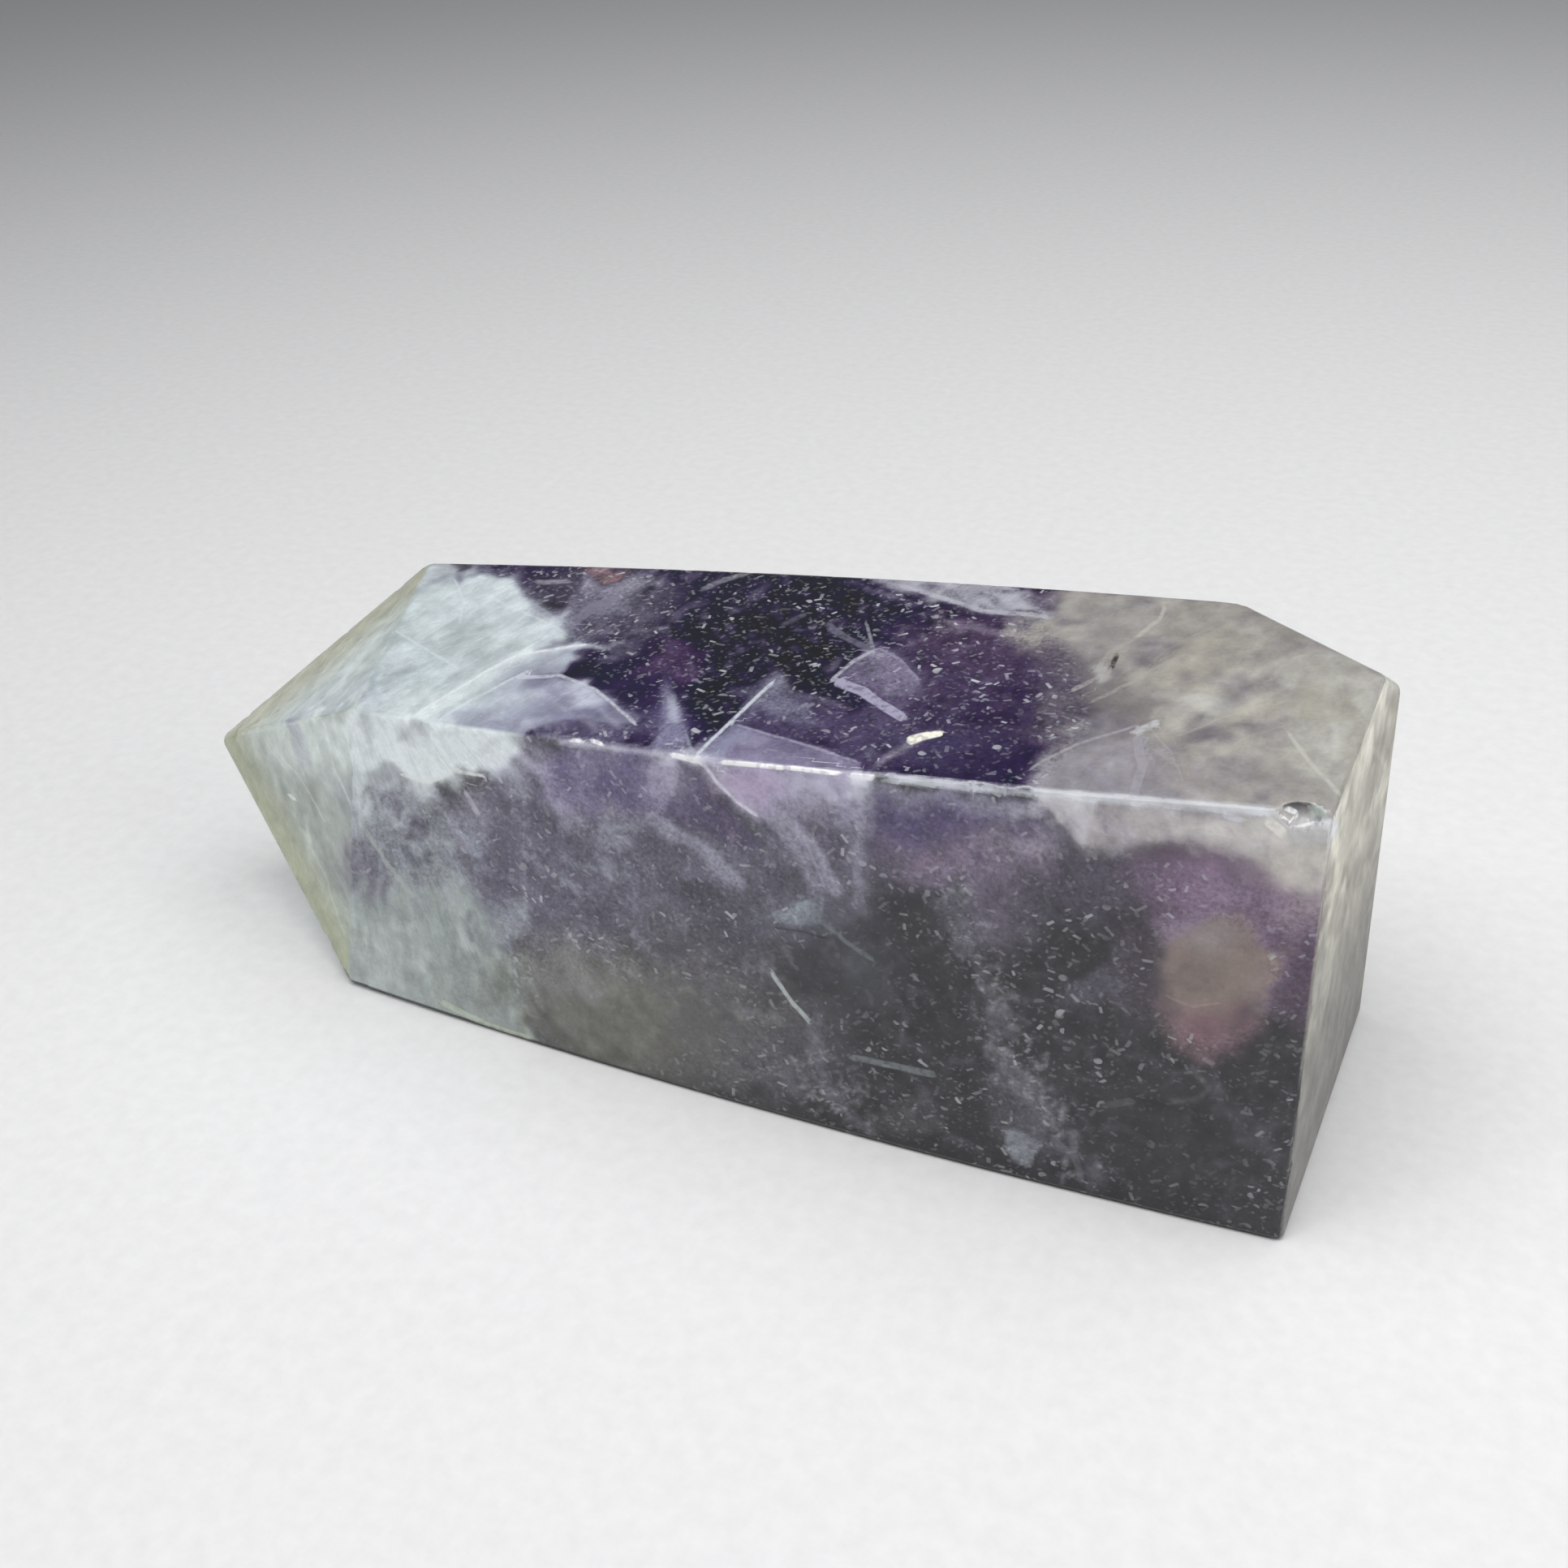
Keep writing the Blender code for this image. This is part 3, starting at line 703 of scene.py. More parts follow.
TOP_MARKS = {
    "grey purple start of the dark": Spot((740, 740), (90, 60), (82, 77, 94)),
    "blackest part": Spot((950, 790), (110, 60), (38, 30, 53), 0.9),
    "deep purple by the lens": Spot((800, 860), (60, 45), (60, 52, 80), 0.9),
    "plum spot": Spot((832, 812), (36, 26), (92, 72, 104), 0.8),
    "lavender haze on the ridge": Spot((825, 900), (45, 30), (104, 96, 130), 0.7),
    "lavender strip on the ridge": Spot((720, 903), (80, 16), (108, 102, 127), 0.8, 0.5, 6),
    "purple field": Spot((1195, 850), (125, 95), (70, 60, 86)),
    "light purple at its far side": Spot((1205, 790), (75, 40), (84, 70, 92), 0.8),
    "purple by the ridge": Spot((1060, 905), (90, 35), (96, 89, 115), 0.8, 0.5, 12),
    "dark purple by the ridge": Spot((1180, 925), (90, 30), (68, 62, 88), 0.8, 0.5, 5),
    "black notch": Spot((880, 870), (30, 50), (36, 28, 54), 0.8, 0.5, 20),
    "pink patch on the crest": Spot((745, 703), (24, 9), (168, 134, 130), 0.8, 0.5, 3),
    "first strand by the cloud": Streak([(690, 772), (712, 735), (725, 712)], 11, (136, 133, 150), 0.7, 4),
    "second strand by the cloud": Streak(
        [(698, 775), (728, 752), (762, 737)], 10, (138, 135, 152), 0.8, 3, 5
    ),
    "grey sheet on the crest": Patch(
        [(715, 718), (800, 712), (815, 706), (812, 722), (760, 740), (725, 735)], (162, 161, 175), 0.75, 5,
        10
    ),
    "haze by the grey sheet": Spot((744, 752), (34, 18), (124, 122, 138), 0.6, 0.7),
    "white dash on the crest": Streak([(664, 716), (700, 716)], 6, (188, 188, 196), 0.7),
    "dark dash by the cloud": Spot((683, 742), (20, 10), (48, 42, 50), 0.7),
    "strand on the far crest": Streak([(865, 726), (895, 714), (925, 706)], 5, (148, 148, 158), 0.8, 2, 3),
    "strand in the black": Streak([(964, 771), (992, 757)], 5, (116, 114, 126), 0.7, 2, 3),
    "vein from the cloud": Streak(
        [(735, 802), (785, 793), (800, 780), (835, 758), (870, 738)], 8, (112, 110, 126), 0.6, 4, 8
    ),
    "purple inside the great sheet": Patch(
        [(905, 892), (950, 845), (1000, 850), (1052, 872), (1058, 935), (985, 918), (935, 902)],
        (96, 88, 116), 0.8, 6, 8, ((900, 890), (1050, 900), 0.35)
    ),
    "lavender foot of the great sheet": Patch(
        [(862, 932), (903, 892), (935, 900), (985, 916), (1058, 938), (1060, 965), (950, 955), (890, 950)],
        (158, 152, 178), 0.95, 3, 4, ((900, 925), (1060, 945), 0.75)
    ),
    "blue light in the foot": Spot((898, 912), (30, 14), (150, 156, 180), 0.7, 0.5, -40),
    "top of the foot": Streak(
        [(908, 893), (960, 908), (1010, 924), (1056, 938)], 3, (178, 174, 196), 0.8, 2, 3
    ),
    "light top of the great sheet": Spot((956, 860), (36, 18), (128, 128, 146), 0.8, 0.7, 20),
    "light in the crest band": Spot((1225, 736), (80, 13), (176, 176, 184), 0.8, 0.6, 8),
    "warm streak": Streak([(1086, 938), (1110, 922), (1138, 908)], 8, (172, 168, 176), 0.7, 4, 2),
    "warm glint on the top": Streak([(1122, 912), (1140, 907), (1158, 904)], 11, (255, 252, 238), 1, 2, 1, 7),
    "haze by the white edge": Streak([(866, 926), (905, 890), (948, 848)], 14, (120, 118, 142), 0.7, 6, 3),
    "white edge of the great sheet": Streak(
        [(857, 932), (900, 889), (951, 842)], 4, (214, 220, 228), 0.95, 2, 2
    ),
    "far edge of the great sheet": Streak([(951, 843), (1000, 856), (1045, 866)], 5, (140, 140, 148), 0.6, 4),
    "purple inside the small sheet": Patch(
        [(1030, 833), (1052, 815), (1077, 802), (1128, 838), (1138, 862), (1112, 878), (1060, 846)],
        (138, 130, 154), 0.85, 5, 4, ((1060, 820), (1130, 860), 0.5)
    ),
    "white foot of the small sheet": Streak(
        [(1030, 838), (1065, 854), (1112, 884)], 12, (178, 174, 198), 0.95, 3, 3
    ),
    "far edge of the small sheet": Streak([(1079, 806), (1130, 840)], 8, (146, 138, 164), 0.7, 3, 3, 4),
    "strand above the small sheet": Streak(
        [(1024, 772), (1050, 790), (1074, 802)], 9, (126, 124, 142), 0.8, 3, 4
    ),
    "near edge of the small sheet": Streak(
        [(1024, 838), (1050, 816), (1077, 802)], 4, (188, 188, 200), 0.9, 2, 2
    ),
    "second strand of the black": Streak([(1068, 770), (1076, 800)], 4, (170, 170, 184), 0.8, 2, 2),
    "low bar of the sheets": Streak([(1085, 800), (1108, 812), (1130, 836)], 4, (168, 162, 186), 0.8, 2, 2),
    "edge of the purple field": Streak(
        [(1070, 950), (1100, 925), (1150, 905)], 7, (140, 134, 156), 0.6, 4, 5
    ),
    "upright sheet": Patch(
        [(814, 840), (828, 848), (840, 885), (855, 930), (800, 926), (812, 890)], (140, 138, 164), 0.8, 5, 6
    ),
    "bright bar in the upright sheet": Patch(
        [(820, 858), (832, 856), (838, 892), (824, 894)], (178, 181, 198), 0.8, 3, 3
    ),
    "bright foot of the upright sheet": Streak([(846, 908), (855, 930)], 4, (170, 176, 190), 0.7, 2, 2),
    "lavender band on the crest": Patch(
        [(1070, 714), (1150, 712), (1240, 718), (1262, 735), (1300, 758), (1240, 754), (1160, 738),
         (1100, 729)], (190, 191, 199), 0.9, 4, 6
    ),
    "white line under the band": Streak(
        [(1110, 722), (1160, 736), (1210, 752), (1290, 760)], 5, (196, 197, 208), 0.8, 2, 3
    ),
    "dark bar in the band": Patch(
        [(1163, 726), (1188, 730), (1186, 738), (1165, 734)], (112, 112, 124), 0.8, 2, 2
    ),
    "pink end of the band": Patch(
        [(1262, 722), (1322, 725), (1300, 745), (1275, 748)], (138, 128, 138), 0.8, 4, 8
    ),
    "haze under the band": Streak([(1155, 765), (1200, 772), (1245, 778)], 12, (150, 140, 154), 0.7, 4, 8),
    "grey start of the quartz": Streak(
        [(1245, 770), (1300, 775), (1330, 790)], 22, (160, 158, 158), 0.8, 8, 10
    ),
    "smoky quartz end": Patch(
        [(1318, 690), (1800, 690), (1800, 1050), (1265, 990), (1280, 950), (1310, 925), (1352, 905),
         (1395, 893), (1372, 868), (1340, 850), (1330, 825), (1300, 800), (1250, 790), (1235, 775),
         (1290, 762), (1305, 745)], (173, 170, 163), 1, 16, 9
    ),
    "pale quartz at the base": Patch(
        [(1570, 830), (1640, 810), (1720, 840), (1660, 1000), (1600, 960)], (184, 184, 177), 0.8, 24, 10
    ),
    "grey wedge in the quartz": Patch(
        [(1290, 790), (1335, 805), (1390, 850), (1415, 888), (1350, 915), (1300, 935), (1270, 900)],
        (112, 107, 113), 0.8, 26, 12
    ),
    "brown of the wedge": Spot((1375, 862), (40, 18), (134, 128, 124), 0.6, 0.7, 30),
    "light foot of the wedge": Spot((1350, 894), (44, 16), (150, 148, 151), 0.8, 0.7, -15),
    "grey quartz on the crest": Spot((1385, 765), (60, 26), (152, 150, 147), 0.8, 0.4, 5),
    "beige quartz on the crest": Spot((1480, 780), (60, 24), (152, 149, 142), 0.6, 0.5, 10),
    "warm quartz": Spot((1475, 820), (50, 24), (174, 170, 158), 0.7, 0.4, -10),
    "white puff in the quartz": Spot((1490, 862), (44, 22), (190, 190, 184), 0.8, 0.5, -10),
    "second white puff": Spot((1545, 876), (42, 14), (190, 186, 174), 0.7, 0.5, -12),
    "lavender quartz by the ridge": Patch(
        [(1262, 955), (1345, 912), (1400, 903), (1440, 925), (1465, 1000), (1255, 985)], (146, 143, 152),
        0.85, 14, 8
    ),
    "edge of the lavender quartz": Streak(
        [(1268, 948), (1310, 926), (1352, 908), (1398, 894)], 3, (178, 176, 182), 0.8, 2, 4
    ),
    "first edge in the quartz": Streak(
        [(1418, 900), (1442, 926), (1456, 960)], 2, (186, 184, 182), 0.6, 2, 5
    ),
    "second edge in the quartz": Streak(
        [(1450, 905), (1500, 885), (1560, 868)], 2, (196, 192, 182), 0.6, 2, 6
    ),
    "third edge in the quartz": Streak(
        [(1500, 930), (1540, 905), (1590, 893)], 2, (188, 184, 174), 0.5, 2, 6
    ),
    "fourth edge in the quartz": Streak(
        [(1395, 835), (1440, 800), (1500, 770)], 2, (186, 182, 174), 0.5, 2, 6
    ),
    "haze on the crest": Spot((1560, 790), (50, 18), (172, 169, 160), 0.5, 0.7, 20),
    "shade by the far edge": Streak([(1470, 752), (1530, 748), (1600, 785)], 12, (146, 143, 136), 0.6, 8, 6),
    "dim spot in the quartz": Spot((1400, 855), (34, 20), (126, 122, 122), 0.7, 0.5, 20),
    "upright strand in the quartz": Streak(
        [(1402, 912), (1408, 945), (1396, 985)], 12, (170, 167, 177), 0.8, 3, 5
    ),
    "white dash in the quartz": Streak([(1398, 902), (1425, 890)], 8, (205, 205, 208), 0.85, 3, 3),
    "slanting strand in the quartz": Streak(
        [(1378, 935), (1350, 955), (1325, 968)], 8, (164, 162, 168), 0.7, 4
    ),
    "short strand in the quartz": Streak([(1425, 925), (1450, 945)], 6, (172, 170, 172), 0.7, 3),
    "quartz along the ridge": Spot((1490, 958), (90, 26), (159, 154, 152), 0.7, 0.5, 5),
    "quartz near the corner": Spot((1570, 970), (60, 16), (156, 152, 148), 0.7, 0.5, 5),
    "wiggly vein": Streak([(1436, 748), (1428, 765), (1400, 784)], 5, (192, 189, 182), 0.85, 2, 4),
    "lower end of the vein": Streak([(1400, 784), (1366, 806), (1352, 822)], 4, (176, 173, 167), 0.7, 2, 5),
    "pale chip beside the pit": Patch(
        [(1341, 822), (1362, 815), (1368, 832), (1354, 840)], (194, 194, 190), 0.7, 3, 5
    ),
    "dash below the chip": Streak([(1322, 850), (1345, 838)], 5, (184, 180, 180), 0.8, 2, 4),
    "long fine vein": Streak(
        [(1345, 862), (1390, 842), (1418, 825), (1460, 808)], 4, (180, 175, 168), 0.7, 2, 5
    ),
    "pale triangle at the corner": Patch(
        [(1585, 820), (1615, 802), (1660, 800), (1712, 836), (1692, 880), (1672, 945), (1652, 985),
         (1612, 935), (1592, 900), (1605, 862)], (180, 178, 170), 0.6, 8, 10
    ),
    "shade in the triangle": Spot((1620, 870), (26, 18), (166, 162, 150), 0.7, 0.4),
    "second shade in the triangle": Spot((1662, 872), (22, 14), (158, 154, 142), 0.6, 0.5, 30),
    "line down the triangle": Streak([(1588, 905), (1612, 938), (1652, 980)], 5, (202, 202, 194), 0.8, 2, 3),
    "line up the triangle": Streak([(1565, 835), (1590, 815), (1620, 803)], 5, (188, 186, 178), 0.6, 3, 4),
    "pit": Streak([(1374, 808), (1371, 820)], 9, (52, 48, 46), 0.95, 2, 2, 5),
    "pit on the cut edge": Streak([(1664, 805), (1674, 811)], 7, (78, 68, 60), 0.9, 2, 2),
    "haze round the cloud": Patch(
        [(420, 900), (420, 660), (590, 694), (640, 712), (672, 740), (712, 778), (740, 796), (700, 815),
         (640, 850), (560, 910)], (150, 154, 168), 0.6, 16, 14
    ),
    "white cloud": Patch(
        [(420, 900), (420, 660), (555, 680), (560, 714), (585, 705), (612, 712), (642, 726), (652, 742),
         (648, 756), (670, 768), (694, 778), (698, 790), (650, 806), (620, 830), (590, 860), (560, 880),
         (560, 910)], (206, 217, 219), 1, 7, 7
    ),
    "grey shelf of the lens": Patch(
        [(610, 812), (660, 800), (730, 794), (700, 815), (690, 830), (640, 836), (600, 850)],
        (184, 190, 202), 0.95, 5, 8
    ),
    "lens": Patch(
        [(556, 885), (600, 852), (645, 832), (690, 833), (732, 850), (762, 870), (780, 891), (750, 897),
         (700, 893), (660, 898), (640, 915), (560, 900)], (160, 162, 180), 0.95, 4, 8
    ),
    "pale start of the lens": Spot((610, 872), (50, 30), (202, 211, 220), 0.95, 0.8, -10),
    "bright heart of the lens": Spot((728, 860), (34, 12), (204, 208, 222), 0.8, 0.7, 25),
    "dark foot of the lens": Spot((715, 886), (40, 10), (118, 116, 146), 0.7, 0.6, 8),
    "upper rim of the lens": Streak(
        [(640, 836), (690, 832), (735, 850), (781, 891)], 4, (214, 217, 228), 0.85, 2, 3
    ),
    "shade in the lens": Spot((662, 880), (30, 16), (148, 150, 172), 0.5),
    "glow by the ridge": Spot((500, 876), (70, 24), (222, 232, 234), 0.6, 0.7, -10),
    "glow in the cloud": Spot((590, 765), (60, 50), (212, 222, 226), 0.5, 0.8),
    "white streak": Streak(
        [(476, 912), (540, 868), (600, 834), (650, 806)], 18, (232, 242, 242), 0.9, 8, 5, 10
    ),
    "end of the white streak": Streak(
        [(640, 812), (690, 800), (740, 797), (770, 790)], 9, (214, 219, 226), 0.85, 4, 4, 2
    ),
    "crisp line in the streak": Streak(
        [(500, 890), (560, 850), (640, 806), (720, 795)], 3, (238, 244, 246), 0.9, 2, 4
    ),
    "line under the streak": Streak([(520, 902), (580, 862), (650, 828)], 3, (226, 234, 238), 0.8, 2, 4),
    "first edge of the pyramid": Streak([(482, 775), (520, 796), (563, 822)], 3, (222, 230, 232), 0.8, 2, 3),
    "second edge of the pyramid": Streak([(482, 775), (450, 812), (420, 848)], 3, (218, 228, 228), 0.7, 2, 3),
    "shade right of the pyramid": Patch(
        [(486, 772), (560, 770), (600, 800), (566, 820)], (180, 190, 191), 0.6, 5, 4
    ),
    "first feather": Streak([(600, 735), (640, 752), (690, 776)], 3, (228, 234, 238), 0.7, 2, 4),
    "second feather": Streak([(560, 716), (572, 740), (566, 764)], 3, (228, 234, 238), 0.7, 2, 4),
    "third feather": Streak([(656, 742), (682, 760), (712, 776)], 3, (170, 172, 190), 0.7, 2, 4),
    "light shoulder of the cloud": Patch(
        [(600, 708), (640, 728), (650, 742), (690, 776), (640, 790), (590, 760), (560, 720)],
        (208, 217, 222), 0.7, 6, 10
    ),
    "grey green band": Patch(
        [(530, 765), (570, 772), (640, 795), (620, 810), (570, 812), (545, 795)], (182, 191, 191), 0.7, 8,
        10
    ),
    "light facet in the cloud": Patch(
        [(436, 850), (485, 768), (545, 800), (560, 832), (510, 852)], (194, 207, 208), 0.6, 4, 6
    ),
    "first smudge": Spot((482, 825), (12, 8), (150, 160, 168), 0.7),
    "second smudge": Spot((462, 850), (8, 20), (160, 170, 182), 0.6),
    "grey corner": Spot((540, 700), (20, 10), (170, 170, 176), 0.8, 0.4),
    "dark chip on the crest": Patch(
        [(555, 690), (585, 690), (580, 704), (562, 706)], (70, 66, 74), 0.8, 3, 4
    ),
    "white bar near the crest": Spot((565, 740), (7, 22), (214, 222, 226), 0.6, 0.5, 15),
    "light in the small sheet": Spot((1100, 822), (32, 20), (138, 132, 154), 0.7, 0.6, 30),
    "light by the strands": Spot((742, 752), (34, 18), (144, 142, 158), 0.6, 0.7, -20),
    "light in the great sheet": Spot((960, 864), (40, 14), (134, 134, 152), 0.5, 0.7, 15),
    "brush of the white cloud": Wisps(
        [(440, 900), (450, 820), (560, 715), (640, 735), (690, 785), (640, 820), (560, 890)], 130, -30, 16,
        (25, 110), (4, 13), [(226, 234, 236), (216, 226, 230), (180, 191, 193), (188, 198, 202)],
        (0.12, 0.42), 11
    ),
    "brush of the lens": Wisps(
        [(600, 900), (640, 840), (720, 850), (780, 890), (700, 895)], 40, 8, 16, (16, 60), (3, 8),
        [(198, 200, 214), (136, 136, 158)], (0.15, 0.45), 12
    ),
    "strands by the crest": Wisps(
        [(690, 780), (720, 712), (980, 712), (900, 760), (790, 800)], 70, -28, 18, (12, 60), (3, 6),
        [(142, 140, 156), (122, 120, 138), (62, 58, 72)], (0.15, 0.6), 13
    ),
    "grain of the dark heart": Wisps(
        [(690, 775), (820, 715), (1180, 745), (1290, 800), (1280, 930), (1060, 940), (860, 930),
         (800, 830)], 170, 5, 45, (6, 18), (4, 7), [(130, 130, 144), (100, 96, 114), (26, 22, 34)],
        (0.15, 0.6), 14
    ),
    "grain of the black part": Wisps(
        [(830, 730), (1190, 740), (1130, 800), (1050, 830), (850, 840), (800, 790)], 110, 5, 40, (6, 18),
        (4, 7), [(150, 150, 160), (110, 110, 122), (24, 22, 30)], (0.2, 0.7), 15
    ),
    "wisps of the purple field": Wisps(
        [(1060, 800), (1200, 770), (1310, 830), (1310, 910), (1200, 940), (1070, 930)], 110, 5, 40, (8, 26),
        (4, 8), [(112, 98, 128), (94, 76, 104), (44, 36, 58)], (0.15, 0.5), 16
    ),
    "strands of the crest band": Wisps(
        [(1020, 712), (1300, 722), (1310, 760), (1180, 745), (1060, 730)], 60, 12, 10, (12, 60), (2.5, 6),
        [(182, 183, 196), (150, 148, 164), (88, 84, 100)], (0.2, 0.6), 17
    ),
    "wisps of the smoky quartz": Wisps(
        [(1300, 760), (1460, 735), (1700, 840), (1640, 990), (1300, 960), (1400, 890), (1340, 830)], 190,
        -32, 28, (12, 70), (4, 11), [(184, 181, 172), (176, 172, 164), (136, 131, 127), (146, 141, 140),
         (156, 150, 156)], (0.12, 0.4), 18
    ),
    "pale wisps of the corner": Wisps(
        [(1585, 820), (1660, 805), (1700, 840), (1660, 970), (1610, 930)], 40, 60, 30, (10, 50), (3, 8),
        [(198, 198, 192), (160, 157, 146)], (0.15, 0.45), 19
    ),
    "lavender wisps by the ridge": Wisps(
        [(1270, 960), (1340, 915), (1450, 920), (1600, 975), (1500, 990), (1290, 975)], 70, 80, 30, (8, 34),
        (4, 9), [(172, 168, 180), (128, 122, 132)], (0.15, 0.45), 20
    ),
}

TIP_TOP_MARKS = {
    "grey streak": Streak([(355, 893), (372, 882), (395, 870)], 8, (150, 152, 166), 0.8, 4, 4),
    "grey haze": Spot((420, 860), (45, 16), (178, 184, 194), 0.6, 0.5, -30),
    "pink corner": Spot((500, 715), (22, 26), (172, 170, 176), 0.7),
    "white patch": Spot((405, 884), (26, 8), (228, 236, 236), 0.8, 0.5, -10),
    "pale ridge": Streak([(300, 905), (360, 893), (436, 878)], 7, (206, 214, 212), 0.6),
    "grain along the upper rim": Wisps(
        [(280, 908), (530, 696), (560, 715), (430, 880)], 110, -40, 7, (30, 120), (4, 12), [(206, 214, 214),
         (196, 204, 202), (160, 167, 164), (172, 178, 176)], (0.12, 0.4), 21
    ),
}

TIP_FRONT_MARKS = {
    "pale upper half": Spot((385, 918), (90, 42), (190, 198, 194), 0.9, 0.7, 15),
    "white column": Spot((432, 915), (44, 42), (216, 224, 225), 0.9, 0.7),
    "grey streak": Streak([(360, 893), (378, 940)], 11, (162, 163, 176), 0.75, 4, 4),
    "grey stroke": Streak([(395, 945), (440, 1010)], 12, (142, 147, 152), 0.6, 6, 8),
    "grey under the white": Patch(
        [(400, 965), (470, 945), (470, 1020), (425, 1020)], (152, 156, 160), 0.6, 12
    ),
    "pale foot": Spot((426, 1150), (30, 44), (162, 169, 165), 0.7),
    "dark leaf": Spot((446, 1062), (38, 40), (114, 112, 122), 0.9, 0.6, 50),
    "first line": Streak([(330, 912), (372, 960), (400, 1010)], 2, (212, 220, 216), 0.6, 2, 4),
    "second line": Streak([(400, 900), (412, 950), (436, 1000)], 2, (226, 232, 232), 0.7, 2, 4),
    "third line": Streak([(370, 1020), (400, 1080), (425, 1150)], 2, (190, 198, 190), 0.6, 2, 4),
    "first glint": Streak([(447, 953), (453, 957)], 5, (252, 252, 252), 1, 2, 0),
    "second glint": Streak([(358, 980), (362, 984)], 4, (236, 240, 240), 0.9, 2, 0),
    "grain along the lower rim": Wisps(
        [(285, 915), (430, 890), (440, 1190), (420, 1180)], 110, 64, 9, (30, 110), (4, 12),
        [(196, 204, 200), (182, 190, 184), (138, 146, 140), (150, 156, 154)], (0.12, 0.42), 22
    ),
}

# Painted highlights and glints on the ridge, with a few of the stone's own marks there, laid over every side
# that the frame shows
RIDGE_MARKS_AND_HIGHLIGHTS = {
    "white under the ridge by the tip": Spot((535, 928), (100, 26), (234, 242, 244), 0.65, 0.5, 3),
    "light under the great sheet": Spot((1002, 976), (48, 18), (184, 181, 200), 0.9, 0.6, 5),
    "haze under the small sheet": Spot((1150, 988), (64, 14), (128, 124, 143), 0.7, 0.6, 5),
    "start of the strip": Spot((1300, 1000), (40, 14), (190, 188, 193), 0.7, 0.6, 5),
    "end of the ridge": Patch(
        [(1574, 1002), (1612, 1000), (1642, 1008), (1648, 1028), (1628, 1046), (1600, 1040), (1580, 1022)],
        (176, 176, 178), 0.75, 5, 12
    ),
    # Painted shade and a painted highlight in the chip
    "painted shade in the chip": Spot((1622, 1014), (9, 6), (120, 120, 126), 0.8, 0.5, 0, 20),
    "painted highlight in the chip": Spot((1636, 1024), (7, 9), (214, 216, 220), 0.8, 0.5, 0, 20),
    "haze round the first joint": Spot((850, 938), (30, 10), (200, 200, 214), 0.8, 0.6, 8),
    "haze round the second joint": Spot((1062, 956), (20, 11), (212, 212, 224), 0.9, 0.6),
    "left line": Streak([(690, 912), (760, 922), (830, 932)], 5, (196, 194, 210), 0.6, 4, 2),
    "first glint": Streak([(706, 912), (716, 913)], 5, (250, 250, 252), 1, 2, 0),
    "second glint": Streak([(730, 913), (740, 916)], 5, (250, 250, 252), 1, 2, 0),
    "third glint": Streak([(830, 931), (866, 940)], 7, (248, 248, 252), 1, 2, 2),
    "long glint": Streak([(890, 939), (965, 946)], 6, (255, 255, 255), 1, 2, 1),
    "next glint": Streak([(973, 946), (1032, 953)], 6, (255, 255, 255), 1, 2, 1),
    "glint in the joint": Streak([(1050, 956), (1074, 958)], 8, (246, 246, 250), 1, 2, 1),
    "warm glint": Streak([(1563, 1012), (1580, 1026)], 13, (255, 252, 244), 1, 2, 2),
    "small glint": Streak([(1588, 997), (1594, 1000)], 7, (250, 250, 250), 1, 2, 0),
    "glint under the chip": Streak([(1600, 1018), (1618, 1014)], 4, (244, 244, 244), 0.9, 2, 1),
    "glint over the chip": Streak([(1508, 1004), (1530, 1010)], 7, (222, 226, 238), 0.8, 2, 2),
}

BASE_MARKS = {
    "pale left rim": Streak(
        [(1700, 832), (1668, 930), (1650, 1000), (1644, 1060)], 36, (208, 207, 197), 0.95, 14, 5, 18
    ),
    "grey left rim": Streak([(1640, 1150), (1626, 1280), (1604, 1400)], 26, (122, 121, 117), 0.85, 12, 5, 24),
    "brown right rim": Streak(
        [(1722, 860), (1716, 1050), (1700, 1250), (1640, 1480)], 16, (140, 135, 124), 0.7, 8, 6
    ),
    "dark stripe": Streak([(1706, 900), (1686, 1050), (1662, 1300)], 8, (126, 124, 117), 0.6, 6, 4),
    "pale stripe": Streak([(1716, 880), (1704, 1000), (1694, 1130)], 8, (184, 181, 172), 0.4, 5, 4),
    "saw streaks": Wisps(
        [(1640, 990), (1700, 830), (1745, 850), (1725, 1230), (1620, 1500), (1590, 1490)], 260, 98, 4,
        (50, 260), (2.5, 9), [(214, 213, 200), (204, 202, 186), (130, 127, 120), (150, 146, 136),
         (110, 104, 98)], (0.12, 0.5), 23
    ),
}

# The order of marks in a table is the order in which they are laid, each over the ones before
MARKS = {
    "front": FRONT_MARKS,
    "top": TOP_MARKS,
    "tip_top": TIP_TOP_MARKS,
    "tip_front": TIP_FRONT_MARKS,
    "base": BASE_MARKS,
}

# Outline of the white cloud and the lens beside it
CLOUD_AND_LENS = [(420, 900), (420, 660), (600, 700), (695, 785), (780, 893), (560, 910)]

# How far fibres show on each side, from 0 to 1, and the way they run in the frame, in degrees or from a point
MILK_GROUND = {"top": 0.15, "front": 0.25, "tip_top": 0.4, "tip_front": 0.45, "base": 0.3, "hidden": 0.3}
MILK_MARKS = {
    "front": {
        "fan by the tip": Spot((540, 1070), (190, 170), 0.6, 1, 0.5),
        "grey ground": Spot((850, 1080), (190, 90), 0.5, 1, 0.6),
    },
    "top": {
        "cloud and lens": Patch(CLOUD_AND_LENS, 0.5, 1, 16),
        "strands by the crest": Spot((750, 740), (110, 50), 0.8, 1, 0.6),
        "quartz": Patch([(1290, 740), (1460, 730), (1730, 830), (1650, 1000), (1270, 980)], 0.05, 1, 20),
    },
}
FIBRES = {"top": -28, "front": (380, 700), "tip_top": -40, "tip_front": 64, "base": 98}

